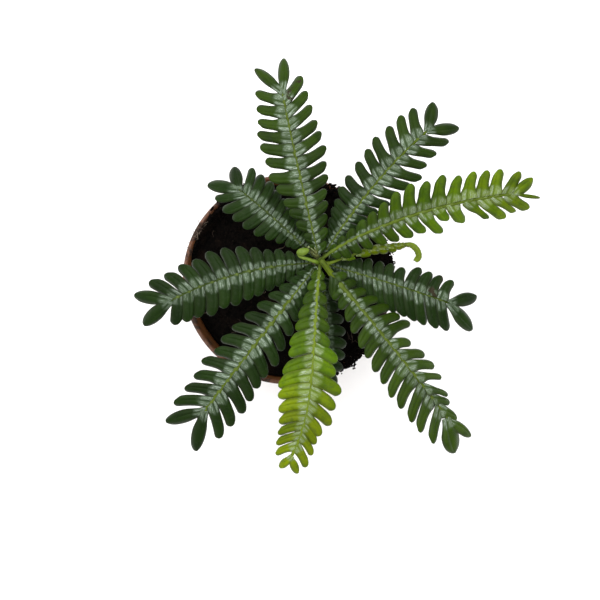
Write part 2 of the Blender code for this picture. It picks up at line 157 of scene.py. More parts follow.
def new_material(name, roughness, specular=0.5):
    """A material, its surface's inputs, which hold plain values, and the place on the object."""
    made = bpy.data.materials.new(name)
    made.use_nodes = True
    surface = made.node_tree.nodes["Principled BSDF"].inputs
    surface["Roughness"].default_value = roughness
    surface["Specular IOR Level"].default_value = specular
    return made, surface, made.node_tree.nodes.new("ShaderNodeTexCoord").outputs["Object"]


def finish_skin(surface, colour, relief, depth, strength=1, roughness=None):
    """Gives a surface its colour, its relief and, where that changes, its roughness."""
    bump = place("Bump", {"Height": relief, "Distance": depth, "Strength": strength})
    tree = colour.id_data
    tree.links.new(colour, surface["Base Color"])
    tree.links.new(bump.outputs["Normal"], surface["Normal"])
    if roughness is not None:
        tree.links.new(roughness, surface["Roughness"])


def loose_object(name, bm):
    mesh = bpy.data.meshes.new(name)
    bm.to_mesh(mesh)
    bm.free()
    made = bpy.data.objects.new(name, mesh)
    bpy.context.scene.collection.objects.link(made)
    return made


def finish_piece(name, bm, materials, replaces=None, smooth=0, levels=0):
    """Turns a bmesh into a piece of the plant, in its place, on the one body."""
    piece = loose_object(name, bm)
    for finish in materials:
        piece.data.materials.append(finish)
    piece.data.shade_smooth()
    if smooth:
        piece.data.set_sharp_from_angle(angle=math.radians(smooth))
    if levels:
        rounding = piece.modifiers.new("rounding", "SUBSURF")
        rounding.levels = rounding.render_levels = levels
    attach(piece, "root")
    if replaces:
        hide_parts(replaces)


def point_outwards(bm):
    bmesh.ops.recalc_face_normals(bm, faces=bm.faces[:])


def turned(profile, sides):
    """A closed body of revolution through a profile given in mm."""
    bm = bmesh.new()
    line = [bm.verts.new((r * MM, 0, z * MM)) for r, z in profile]
    edges = [bm.edges.new(pair) for pair in zip(line, line[1:])]
    bmesh.ops.spin(
        bm, geom=line + edges, cent=(0, 0, 0), axis=(0, 0, 1), dvec=(0, 0, 0),
        angle=math.tau, steps=sides, use_merge=True, use_duplicate=False,
    )
    bmesh.ops.remove_doubles(bm, verts=bm.verts[:], dist=0.002 * MM)
    point_outwards(bm)
    return bm


def cut_away(body, tools):
    """A body after its tools are taken out of it."""
    for tool in tools:
        cut = body.modifiers.new(tool.name, "BOOLEAN")
        cut.operation = "DIFFERENCE"
        cut.solver = "EXACT"
        cut.object = tool
    graph = bpy.context.evaluated_depsgraph_get()
    bm = bmesh.new()
    bm.from_mesh(bpy.data.meshes.new_from_object(body.evaluated_get(graph)))
    for spent in [body, *tools]:
        bpy.data.objects.remove(spent, do_unlink=True)
    return bm


holes = bmesh.new()
channels = bmesh.new()
channel_length = RIM_RADIUS - DRAIN_CIRCLE
for hole in range(DRAIN_HOLES):
    turn = Matrix.Rotation((hole + 0.5) * math.tau / DRAIN_HOLES, 4, "Z")
    bmesh.ops.create_cone(
        holes, cap_ends=True, segments=40, radius1=DRAIN_RADIUS, radius2=DRAIN_RADIUS,
        depth=8 * MM, matrix=turn @ Matrix.Translation((DRAIN_CIRCLE, 0, 0)),
    )
    middle = Matrix.Translation((DRAIN_CIRCLE + channel_length / 2, 0, 0))
    size = Matrix.Diagonal((channel_length, CHANNEL_WIDTH, 2 * CHANNEL_DEPTH, 1))
    bmesh.ops.create_cube(channels, size=1, matrix=turn @ middle @ size)
pot_body = cut_away(
    loose_object("pot_shell", turned(POT_PROFILE, POT_SIDES)),
    [loose_object("hole_tool", holes), loose_object("channel_tool", channels)],
)

# Specks: small marks of a second colour, used on plastic, soil, bark and leaves alike.
specks, speck_in = new_group("specks", ("Vector", "Scale", "Amount"))
cells = place("TexVoronoi", {"Vector": speck_in["Vector"], "Scale": speck_in["Scale"]})
near = sums("SUBTRACT", speck_in["Amount"], cells.outputs["Distance"])
patchy = mask(mottle(speck_in["Vector"], 260, 3), 0.42, 0.6)
give_out(specks, Mask=scaled(mask(near, 0, 0.12), patchy))


def specks_on(where, scale, amount, share):
    inputs = {"Vector": where, "Scale": scale, "Amount": amount}
    return scaled(place("Group", inputs, node_tree=specks).outputs["Mask"], share)


pot_plastic, surface, where = new_material("pot_plastic", 0.5)
broad = mottle(where, 38, 3)
fine = mottle(where, 900, 5)
colour = tint(mask(broad, 0.3, 0.72), (0.1305, 0.0452, 0.0157), (0.0853, 0.0296, 0.0113))
colour = tint(mask(fine, 0.48, 0.75), colour, (0.174, 0.0661, 0.0261))
# Painted light: everything nearer the axis than the collar, the inner wall and the body below the
# collar, is mixed towards a brighter orange, as if light shone through the thin plastic.
level_part = place("VectorMath", {0: where, 1: (1, 1, 0)}, operation="MULTIPLY").outputs[0]
from_axis = place("VectorMath", {0: level_part}, operation="LENGTH").outputs["Value"]
inner_wall_glow = one_less(mask(from_axis, 0.0361, 0.0367))
colour = tint(scaled(inner_wall_glow, 0.7), colour, (0.2044, 0.0713, 0.0139))
# Soil crust on the collar's upper part, and chalky bloom in patches.
crusty = mottle(where, 120, 6, 0.68, 0.4)
crust = scaled(mask(height_of(where), 0.0605, 0.0682), mask(crusty, 0.47, 0.56))
colour = tint(crust, colour, (0.0261, 0.0122, 0.007))
bloom = scaled(mask(crusty, 0.52, 0.70), mask(broad, 0.48, 0.62))
colour = tint(scaled(bloom, 0.32), colour, (0.3654, 0.2871, 0.2349))
colour = tint(specks_on(where, 700, 0.26, 0.55), colour, (0.0305, 0.0157, 0.0087))
scuffs = mottle(stretched(where, 1, 1, 9), 240, 4)
relief = scaled(crust, crusty, scaled(scuffs, 0.2, scaled(fine, 0.25)))
roughness = sums("MAXIMUM", scaled(fine, 0.22, 0.38), scaled(crust, 0.92))
finish_skin(surface, colour, relief, 0.35 * MM, 0.8, roughness)
finish_piece("pot_turned", pot_body, [pot_plastic], "pot", smooth=38)

# ------------------------------------------------------------
# Soil. Near-black peaty compost, its dark colour partly its own and partly painted shade from the
# leaves, with bark crumbs and pale root fibres. It lies low on the left of the pot, is heaped
# against the stem, and spills over the rim on the right.

SOIL_MIDDLE = 62.4 * MM
SOIL_SLOPE = 3.9 * MM
SOIL_HIGH_SIDE = math.radians(-20)
SOIL_MOUND = 1.6 * MM
SOIL_MOUND_SPREAD = 11 * MM
SOIL_BANKS = (  # soil high or low against the wall: direction and spread in degrees, height
    (138, 26, 6 * MM), (62, 18, 3 * MM), (-140, 24, -3 * MM),
)
STEM_AT_SOIL = (5.2, 2.3)
SOIL_SIDES = 168
SOIL_RINGS = 56
SOIL_GAP = 0.3 * MM
CRUMBS = 620
FIBRES = 110
soil_luck = random.Random(11)


def pot_inner_radius(z):
    """Radius of the pot's inner wall at height z."""
    if z > COLLAR_FOOT:
        return (34.6 + 1.8 * (z - COLLAR_FOOT) / (POT_HEIGHT - COLLAR_FOOT)) * MM
    return (23.4 + 11.2 * z / COLLAR_FOOT) * MM


def soil_height(x, y):
    """Height of the smooth soil surface, before its lumps."""
    across = x * math.cos(SOIL_HIGH_SIDE) + y * math.sin(SOIL_HIGH_SIDE)
    from_stem = math.hypot(x - STEM_AT_SOIL[0] * MM, y - STEM_AT_SOIL[1] * MM)
    mound = SOIL_MOUND * math.exp(-((from_stem / SOIL_MOUND_SPREAD) ** 2))
    at_wall = min(1, max(0, math.hypot(x, y) / RIM_RADIUS - 0.62) / 0.33)
    bearing = math.degrees(math.atan2(y, x))
    bank = 0
    for middle, spread, high in SOIL_BANKS:
        bank += high * at_wall**2 * math.exp(-(((bearing - middle) / spread) ** 2))
    return SOIL_MIDDLE + SOIL_SLOPE * across / RIM_RADIUS + mound + bank


def soil_lumps(x, y):
    """Clods and crumbs, in metres above or below the smooth surface."""
    at = Vector((x, y, 0))
    clods = noise.fractal(at * 150, 0.9, 2.1, 3)
    crumbs = abs(noise.fractal(at * 620 + Vector((7, 3, 0)), 0.7, 2.3, 3))
    return (0.75 * clods + 0.75 * crumbs) * MM


soil_top = (pot_inner_radius(SOIL_MIDDLE) - SOIL_GAP) / MM
soil_rings = [soil_top * ring / SOIL_RINGS for ring in range(SOIL_RINGS + 1)]
soil_profile = [(radius, SOIL_MIDDLE / MM) for radius in soil_rings]
soil_profile += [(34.25, 56), (30.2, 36), (24.3, 6), (23.2, 2.9), (22.4, 2.1), (14, 2.1), (0, 2.1)]
soil = turned(soil_profile, SOIL_SIDES)
for vert in soil.verts:
    x, y, z = vert.co
    if z < SOIL_MIDDLE - 0.01 * MM:
        continue
    share = vert.co.xy.length / (soil_top * MM)
    top = min(soil_height(x, y) + soil_lumps(x, y), POT_HEIGHT - 0.1 * MM)
    vert.co.z = top
    if share > 0.001:
        vert.co.xy = vert.co.xy.normalized() * share * (pot_inner_radius(top) - SOIL_GAP)

soil_mix, surface, where = new_material("soil_mix", 0.95, 0.05)
grain = mottle(where, 700, 6, 0.7)
clods = mottle(where, 150, 4)
# Near-black colours: the compost's own dark peat, darkened further by painted shade from the
# leaves.
colour = tint(mask(grain, 0.35, 0.7), (0.0011, 0.0009, 0.0008), (0.0045, 0.003, 0.0024))
colour = tint(mask(clods, 0.52, 0.72), colour, (0.0078, 0.0045, 0.0031))
colour = tint(specks_on(where, 1100, 0.2, 0.35), colour, (0.0653, 0.0452, 0.0296))
finish_skin(surface, colour, sums("ADD", grain, clods), 0.5 * MM)
finish_piece("soil_bed", soil, [soil_mix], "soil")


def drop_crumb(bm, at, size, luck):
    """One irregular crumb of soil."""
    angle = luck.uniform(0, math.tau)
    turn = Matrix.Rotation(angle, 4, Vector([luck.gauss(0, 1) for _ in range(3)]))
    wide, high = size * luck.uniform(0.55, 0.95), size * luck.uniform(0.45, 0.8)
    shape = Matrix.Diagonal((size, wide, high, 1))
    made = bmesh.ops.create_icosphere(
        bm, subdivisions=1, radius=1, matrix=Matrix.Translation(at) @ turn @ shape,
    )
    for vert in made["verts"]:
        vert.co += (vert.co - at) * luck.uniform(-0.3, 0.25)


def lay_fibre(bm, points, radii, sides=4):
    """A thin round strand through the points, closed at both ends."""
    first = bmesh.ops.create_circle(bm, cap_ends=True, radius=1, segments=sides)
    face = first["verts"][0].link_faces[0]
    ring = [vert.co.copy() for vert in face.verts]
    made = list(face.verts)
    last = len(points) - 1
    for i, (point, radius) in enumerate(zip(points, radii)):
        ahead = points[min(i + 1, last)] - points[max(i - 1, 0)]
        turn = Vector((0, 0, 1)).rotation_difference(ahead)
        if i:
            face = bmesh.ops.extrude_discrete_faces(bm, faces=[face])["faces"][0]
            made += face.verts
        for vert, corner in zip(face.verts, ring):
            vert.co = point + turn @ (corner * radius)
    bmesh.ops.holes_fill(bm, edges=[edge for edge in bm.edges if edge.is_boundary])
    return made


SPILLS = (  # middle direction and spread in degrees, crumbs, furthest reach in mm
    (13, 9, 260, 1.9), (-46, 17, 340, 0.9), (-53, 2.2, 80, 2.6), (-60.5, 2, 40, 1.9),
    (-66, 8, 90, 0.8), (63, 11, 130, 0.6), (128, 12, 90, 0.3),
)
LIP_FROM = 36 * MM  # radius where the wall has become the lip
LIP_LEVEL = 68.1 * MM
WALL_LEVEL = 67.2 * MM  # just inside the lip
HEAPED = 950
HEAP_BEARING = 151  # degrees
HEAP_SPREAD = 11
HEAP_TOP = 67.5 * MM
crumbs = bmesh.new()
for _ in range(CRUMBS):
    around = soil_luck.uniform(0, math.tau)
    out = math.sqrt(soil_luck.uniform(0.02, 0.97)) * (soil_top - 0.6) * MM
    x, y = out * math.cos(around), out * math.sin(around)
    size = soil_luck.choice((0.28, 0.34, 0.4, 0.5, 0.62, 0.85)) * MM
    level = soil_height(x, y) + soil_lumps(x, y) + 0.3 * size
    drop_crumb(crumbs, Vector((x, y, level)), size, soil_luck)
for bearing, spread, count, reach in SPILLS:
    for _ in range(count):
        around = math.radians(soil_luck.gauss(bearing, spread * 0.55))
        out = (35.0 + (2.6 + reach) * soil_luck.random() ** 2) * MM
        size = soil_luck.uniform(*((0.35, 1.05) if out < 38.4 * MM else (0.2, 0.5))) * MM
        level = LIP_LEVEL if out > LIP_FROM else WALL_LEVEL
        pile = 1.4 * MM * soil_luck.random() * (1 - (out - 35.2 * MM) / (6.4 * MM))
        at = Vector((out * math.cos(around), out * math.sin(around), level + pile))
        drop_crumb(crumbs, at, size, soil_luck)
heap_luck = random.Random(11)
for _ in range(HEAPED):  # heaped against the wall
    bearing = heap_luck.gauss(HEAP_BEARING, HEAP_SPREAD)
    fade = math.exp(-((bearing - HEAP_BEARING) / (1.7 * HEAP_SPREAD)) ** 2)
    around, up = math.radians(bearing), heap_luck.random()
    out = (33.2 + 2.9 * up) * MM
    x, y = out * math.cos(around), out * math.sin(around)
    ground = soil_height(x, y)
    level = ground + (HEAP_TOP - ground) * up**1.4 * fade
    drop_crumb(crumbs, Vector((x, y, level)), heap_luck.uniform(0.45, 1.0) * MM, heap_luck)
point_outwards(crumbs)
finish_piece("soil_crumbs", crumbs, [soil_mix])

fibre_skin, surface, where = new_material("root_fibre", 0.8, 0.3)
tone = mask(mottle(where, 210, 3), 0.4, 0.62)
colour = tint(tone, (0.0365, 0.0238, 0.0161), (0.13, 0.097, 0.070))
finish_skin(surface, colour, mottle(where, 2600, 3), 0.05 * MM)

FIBRE_SPILLS = (13, -46, -46, -66, 63, 150, 165)  # degrees, where fibres lie over the rim
fibres = bmesh.new()
for i in range(FIBRES):
    over_rim = i % 3 == 0
    around = soil_luck.uniform(0, math.tau)
    out = math.sqrt(soil_luck.uniform(0.03, 0.95)) * soil_top * MM
    if over_rim:
        around = math.radians(soil_luck.choice(FIBRE_SPILLS) + soil_luck.gauss(0, 8))
        out = soil_luck.uniform(34.5, 37.6) * MM
    heading = soil_luck.uniform(0, math.tau)
    if over_rim:
        heading = around + soil_luck.gauss(0, 0.9)
    step = soil_luck.uniform(0.35, 0.8) * MM
    curl = soil_luck.gauss(0, 0.1 if over_rim else 0.35)
    x, y = out * math.cos(around), out * math.sin(around)
    points = []
    for k in range(6):
        rise = math.sin(math.pi * (k + 0.5) / 6) * soil_luck.uniform(0.2, 0.9) * MM
        ground = soil_height(x, y) + soil_lumps(x, y)
        for beyond, level in ((35.4, LIP_LEVEL), (38.2, 67.3 * MM)):  # on the lip, past it
            ground = level if math.hypot(x, y) > beyond * MM else ground
        points.append(Vector((x, y, ground + 0.1 * MM + rise)))
        heading += curl + soil_luck.gauss(0, 0.25)
        x += step * math.cos(heading)
        y += step * math.sin(heading)
    thick = soil_luck.uniform(0.05, 0.13) * MM
    lay_fibre(fibres, points, [thick * k for k in (0.5, 1, 1, 0.9, 0.8, 0.35)])
point_outwards(fibres)
finish_piece("root_fibres", fibres, [fibre_skin], smooth=60)

# ------------------------------------------------------------
# Stem. A short woody trunk, grey-brown and ringed by the scars of fallen leaves, green and
# tender at its top, where the leaf stalks spring from it.

STEM_ROUTE = (  # x, y, z and radius in mm
    (4.6, 1.8, 48, 0.9), (4.8, 2.0, 54, 1.7), (5.2, 2.3, 62, 2.2), (6.2, 2.9, 71, 2.0),
    (7.6, 3.7, 80, 2.0), (8.5, 4.1, 87, 2.1), (8.7, 4.2, 91, 1.9), (8.7, 4.2, 94, 1.5),
    (8.7, 4.2, 96, 1.1), (8.7, 4.2, 97.2, 0.6),
)
CROWN = Vector((8.7, 4.2, 0)) * MM


def smooth_point(route, share):
    """Point on the smooth curve through a route's own points, at a share of its length."""
    position = max(0.0, min(share, 1.0)) * (len(route) - 1)
    i = min(int(position), len(route) - 2)
    t = position - i
    a, b = route[max(i - 1, 0)], route[i]
    c, d = route[i + 1], route[min(i + 2, len(route) - 1)]
    straight = 2 * b + (c - a) * t
    bend = (2 * a - 5 * b + 4 * c - d) * t**2 + (3 * b - a - 3 * c + d) * t**3
    return (straight + bend) / 2


stem = bmesh.new()
stem_rows = [Vector((*row[:3], 0)) for row in STEM_ROUTE]
stem_radii = [Vector((row[3], 0, 0)) for row in STEM_ROUTE]
steps = 66
stem_points = [smooth_point(stem_rows, i / steps).to_3d() * MM for i in range(steps + 1)]
radii = [max(0.3, smooth_point(stem_radii, i / steps).x) * MM for i in range(steps + 1)]
for vert in lay_fibre(stem, stem_points, radii, 20):
    z = vert.co.z
    axis = min(stem_points, key=lambda p: abs(p.z - z))
    away = vert.co - axis
    scars = math.sin(z / MM * 2.1 + 2.2 * math.atan2(away.y, away.x))
    rough = noise.fractal(vert.co * 420, 0.8, 2, 3)
    fade = min(1, max(0, (96 * MM - z) / (8 * MM)))
    vert.co += away * fade * (0.09 * scars + 0.16 * rough)
point_outwards(stem)

bark, surface, where = new_material("stem_bark", 0.8, 0.3)
streak = mottle(stretched(where, 1, 1, 0.25), 900, 5)
colour = tint(mask(streak, 0.35, 0.68), (0.0261, 0.0157, 0.0096), (0.1305, 0.0914, 0.0539))
colour = tint(mask(height_of(where), 0.090, 0.0968), colour, (0.0653, 0.1087, 0.0087))
colour = tint(specks_on(where, 1500, 0.3, 0.5), colour, (0.0478, 0.0261, 0.0104))
finish_skin(surface, colour, streak, 0.25 * MM)
finish_piece("stem_trunk", stem, [bark], "stem", levels=1)

# ------------------------------------------------------------
# Leaves. Ten feathery leaves: a thin grooved rachis with pairs of oblong leaflets, each turned
# down at its margin and folded a little along an off-centre midrib. Their bases are silvery, their
# own bloom with a painted sheen of reflected light over it, their outer parts are deep green with
# a thin painted shade line at the margin, and the two youngest leaves turn lime at the tip.

RACHIS_WIDE = (0.8 * MM, 0.76 * MM, 0.58 * MM)  # half width at the foot, past it, at the tip
RACHIS_TALL = (0.8 * MM, 0.48 * MM, 0.3 * MM)
PETIOLE_TO = 0.12  # share of the reach where the bare stalk passes into the rachis
RACHIS_FULL_AT = 0.36
BANK_FULL_AT = 0.35
BLADE_ROWS = (0, 0.05, 0.14, 0.28, 0.44, 0.58, 0.70, 0.81, 0.91, 1)  # shares of the length
BLADE_COLUMNS = (-1, -0.56, -0.2, 0, 0.2, 0.56, 1)  # from the rear margin to the front one
REAR_HALF = 0.38  # of the breadth: the midrib stands nearer the rear margin
FRONT_HALF = 0.62
BLADE_OUTLINE = (  # share of the length, then how full the rear and the front half are
    (0, 0.98, 0.98), (0.05, 1.02, 1.02), (0.14, 1.02, 1.02), (0.60, 1.03, 1.0), (1, 1.03, 1.0),
)
# Shares of the length, then the edge's way round the tip: 90 at full breadth, 0 at the end.
TIP_TURN = ((0, 90), (0.66, 90), (0.80, 87), (0.91, 78), (1, 58))
LAST_TIP_TURN = ((0, 90), (0.44, 90), (0.58, 82), (0.70, 71), (0.81, 57), (0.91, 40), (1, 17))
TIP_LONG = (1.15, 0.4)  # the tip's roundness lengthways, of the breadth: rear and front
LAST_TIP_LONG = (0.3, 0.25)
TIP_PEAK = 0.55  # where across the leaflet its tip reaches furthest
TIP_POINT = 1.8  # power by which the edge falls back from there
BLADE_START = 0.22 * MM  # from the rachis' middle
FOOT_SHEAR = 0.6  # most that a leaflet's foot is cut aslant, so that it follows the rachis
MIDRIB_BACK = 0.07  # of the breadth: how far the midrib starts towards the rear
BLADE_THICK = 0.24 * MM
PANEL_BULGE = 0.10  # of the breadth
MARGIN_TURN = 0.22  # of the breadth
TIP_FALL = 0.06  # of the breadth
BLADE_RISE = 0.10  # of the length, before the leaflet droops
LONGER = (1.045, 0.1)  # factor, and mm more, that bring the rounded tips to the measured lengths
WIDER = 1.1  # leaflets against the breadths given for each leaf
WIDEST_IN_GAP = 1.25  # widest a leaflet may be, against the gap to the pair before
FOOT_IN_GAP = (1.26, 0.8)  # the foot against the gap, and the least sine of its angle
LAST_LONGER, LAST_WIDER, LAST_FOOT = 1.05, 1.2, 0.64  # the last pair's own factors
LAST_BACK = 1.0  # mm by which the last pair starts further back
# The bloom here is the leaflets' own bloom together with their painted sheen.
RAISED_BLOOM_AND_SHEEN = 0.2  # of the usual bloom, on a first pair that is raised
leaf_luck = random.Random(5)


def soft_step(value, low, high):
    part = max(0, min(1, (value - low) / (high - low)))
    return part * part * (3 - 2 * part)


def table_value(table, share, column):
    """Value between the rows of a table whose first column is the share."""
    for low, high in zip(table, table[1:]):
        if share <= high[0]:
            part = (share - low[0]) / (high[0] - low[0])
            return low[column] + (high[column] - low[column]) * part
    return table[-1][column]


def stalk_size(sizes, share, petiole, stalk):
    """Half width or half height of a rachis at a share of its length."""
    foot, first, last = sizes
    along = max(0, share - RACHIS_FULL_AT) / (1 - RACHIS_FULL_AT)
    beyond = (first + (last - first) * along) * stalk
    passed = soft_step(share, PETIOLE_TO * 0.7, RACHIS_FULL_AT)
    return foot * petiole + (beyond - foot * petiole) * passed


def lie_of(route, share, bank=0.0, fold=0.0):
    """How a rachis lies at a share: its point, its level direction and left side, its slope, and
    the slopes of the leaflets to its left and right, which bank and fold tip."""
    step = 0.004
    ahead = route(share + step) - route(share - step)
    level = Vector((ahead.x, ahead.y, 0)).normalized()
    left = Vector((-level.y, level.x, 0))
    slope = ahead.z / max(ahead.xy.length, 1e-6)
    tipped = math.tan(math.radians(bank) * min(1, share / BANK_FULL_AT))
    folded = math.tan(math.radians(fold))
    return route(share), level, left, slope, (-tipped - folded, tipped - folded)


def grow_leaflet(
    bm, layers, lie, side, length, angle, widest, foot, sweep, droop, roll, lifted,
    tip_turn, tip_long, seat=0, reach_back=0, **marks,
):
    """One leaflet: a grid bent to the outline, its panels raised and its margin turned down."""
    at, ahead, left, slope, falls = lie
    fall = falls[0 if side == 1 else 1]
    angle = math.radians(angle)
    outward = left * side
    along = ahead * math.cos(angle) + outward * math.sin(angle)
    forward = ahead * math.sin(angle) - outward * math.cos(angle)
    length = length * MM - BLADE_START
    reach_back, widest, foot = reach_back * MM, widest * MM, foot * MM
    slant = min(FOOT_SHEAR, 1 / math.tan(angle)) * seat
    roll = math.radians(roll) * side
    made = bmesh.ops.create_grid(
        bm, x_segments=len(BLADE_ROWS) - 1, y_segments=len(BLADE_COLUMNS) - 1, size=1,
    )["verts"]
    faces = {face for vert in made for face in vert.link_faces}
    for vert in made:
        row = round((vert.co.x + 1) / 2 * (len(BLADE_ROWS) - 1))
        column = round((vert.co.y + 1) / 2 * (len(BLADE_COLUMNS) - 1))
        share, across = BLADE_ROWS[row], BLADE_COLUMNS[column]
        rear = across < 0
        breadth = foot + (widest - foot) * soft_step(share, 0.18, 0.5)
        turn = math.radians(table_value(tip_turn, share, 1))
        full = table_value(BLADE_OUTLINE, share, 1 if rear else 2) * math.sin(turn)
        sideways = across * full * breadth * (REAR_HALF if rear else FRONT_HALF)
        sideways -= MIDRIB_BACK * widest
        rounding = (1 - math.cos(turn)) * tip_long[0 if across < TIP_PEAK else 1] * widest
        off_peak = (across - TIP_PEAK) / ((1 - TIP_PEAK) if across > TIP_PEAK else -(1 + TIP_PEAK))
        set_back = max(0, rounding - (1 - share) * (length + reach_back)) * off_peak**TIP_POINT
        lengthways = share * (length + reach_back) - reach_back - set_back
        lengthways += sideways * slant * (1 - soft_step(share, 0, 0.45))
        reached = max(lengthways, 0) / length
        sideways += sweep * length * (reached**2 - reached)
        panel = 1 - (2 * abs(across) - 1) ** 2
        taper = 1 - 0.75 * max(0, (share - 0.75) / 0.25)
        swell = PANEL_BULGE * panel * breadth * taper * (1.25 - 0.4 * share)
        margin = MARGIN_TURN * breadth * abs(across) ** 4 * min(1, 0.25 + share * 2)
        lift = length * (BLADE_RISE * reached - droop * reached**2)
        tip_fall = TIP_FALL * breadth * max(0, (share - 0.8) / 0.2) ** 2
        height = swell - margin - tip_fall
        turned_in = sideways * math.cos(roll) - height * math.sin(roll)
        height = sideways * math.sin(roll) + height * math.cos(roll)
        level = along * (BLADE_START + lengthways) + forward * turned_in
        lie_height = slope * level.dot(ahead) + fall * level.dot(outward)
        vert.co = at + level + Vector((0, 0, lie_height + lift + height + lifted * MM))
        for key, value in {"along": share, "across": across, **marks}.items():
            vert[layers[key]] = value
    bmesh.ops.recalc_face_normals(bm, faces=list(faces))
    if sum(face.normal.z for face in faces) < 0:
        bmesh.ops.reverse_faces(bm, faces=list(faces))
    up = sum((face.normal for face in faces), Vector()).normalized()
    thickened = bmesh.ops.solidify(bm, geom=list(faces), thickness=BLADE_THICK)["geom"]
    for face in {face for face in thickened if isinstance(face, bmesh.types.BMFace)} | faces:
        face.normal_update()
        face.material_index = 0 if face.normal.dot(up) > 0.05 else 2


def grow_rachis(bm, layers, route, start, end, nodes, wide, tall, lime, steps=72):
    """The grooved stalk, swollen where the leaflets join it."""
    sides = 10
    first = bmesh.ops.create_circle(bm, cap_ends=True, radius=1, segments=sides)
    face = first["verts"][0].link_faces[0]
    before = set(bm.faces) - {face}
    for step in range(steps + 1):
        share = start + (end - start) * step / steps
        point, ahead, left, slope, _ = lie_of(route, share)
        ahead = Vector((ahead.x, ahead.y, slope)).normalized()
        up = ahead.cross(left)
        knot = sum(math.exp(-(((share - node) / 0.012) ** 2)) for node in nodes)
        swell = 1 + 0.22 * min(1, knot)
        marks = {"along": share, "tone": min(1, knot), "lime": lime(share)}
        close = min(1, (steps - step) / 3 + 0.35)
        if step:
            face = bmesh.ops.extrude_discrete_faces(bm, faces=[face])["faces"][0]
        for i, vert in enumerate(face.verts):
            turn = (i + 0.5) * math.tau / sides
            groove = 0.72 if abs(turn - math.pi / 2) < 0.4 else 1
            across = wide(share) * swell * close * math.cos(turn)
            above = tall(share) * swell * close * math.sin(turn) * groove
            vert.co = point + left * across + up * above
            for key, value in {**marks, "across": math.cos(turn)}.items():
                vert[layers[key]] = value
    bmesh.ops.holes_fill(bm, edges=[edge for edge in bm.edges if edge.is_boundary])
    stalk = set(bm.faces) - before
    bmesh.ops.recalc_face_normals(bm, faces=list(stalk))
    for made in stalk:
        made.material_index = 1


def blade_layers(bm):
    keys = ("along", "across", "tone", "lime", "worn", "bloom")
    return {key: bm.verts.layers.float.new(key) for key in keys}


# The marks of a leaflet: its silvery bloom with painted sheen, veins, and painted shade at the
# margin.
blade_marks, mark = new_group("blade_marks", ("Along", "Across", "Tone", "Vector"))
off_middle = sums("ABSOLUTE", mark["Across"])
wobble = sums("SUBTRACT", mottle(mark["Vector"], 420, 3), 0.5)
edge_of_sheen = scaled(off_middle, 0.10, scaled(wobble, 0.22, mark["Along"]))
edge_of_sheen = scaled(mark["Tone"], -0.10, edge_of_sheen)
slant = scaled(off_middle, -0.55, mark["Along"])
give_out(
    blade_marks,
    # Silver: the silver at the base, the leaflet's own bloom with a painted sheen of reflected
    # light.
    Silver=one_less(mask(edge_of_sheen, 0.17, 0.35)),
    Veins=mask(sums("SINE", scaled(slant, 88)), 0.1, 1),
    # Margin: the margin, where a painted shade line darkens the turned-down edge.
    Margin=mask(off_middle, 0.80, 1),
    Midrib=one_less(mask(off_middle, 0, 0.13)),
    # Panel: the crown of each half, where the painted sheen and its highlights are strongest.
    Panel=scaled(mask(off_middle, 0.04, 0.30), one_less(mask(off_middle, 0.62, 0.98))),
    Rear=one_less(mask(mark["Across"], -0.08, 0.02)),
    Sides=mask(off_middle, 0.30, 1),
)


def attributes(where, *names):
    """Values that the mesh carries, in the tree that where is in."""
    for name in names:
        made = where.id_data.nodes.new("ShaderNodeAttribute")
        made.attribute_name = name
        yield made.outputs["Fac"]


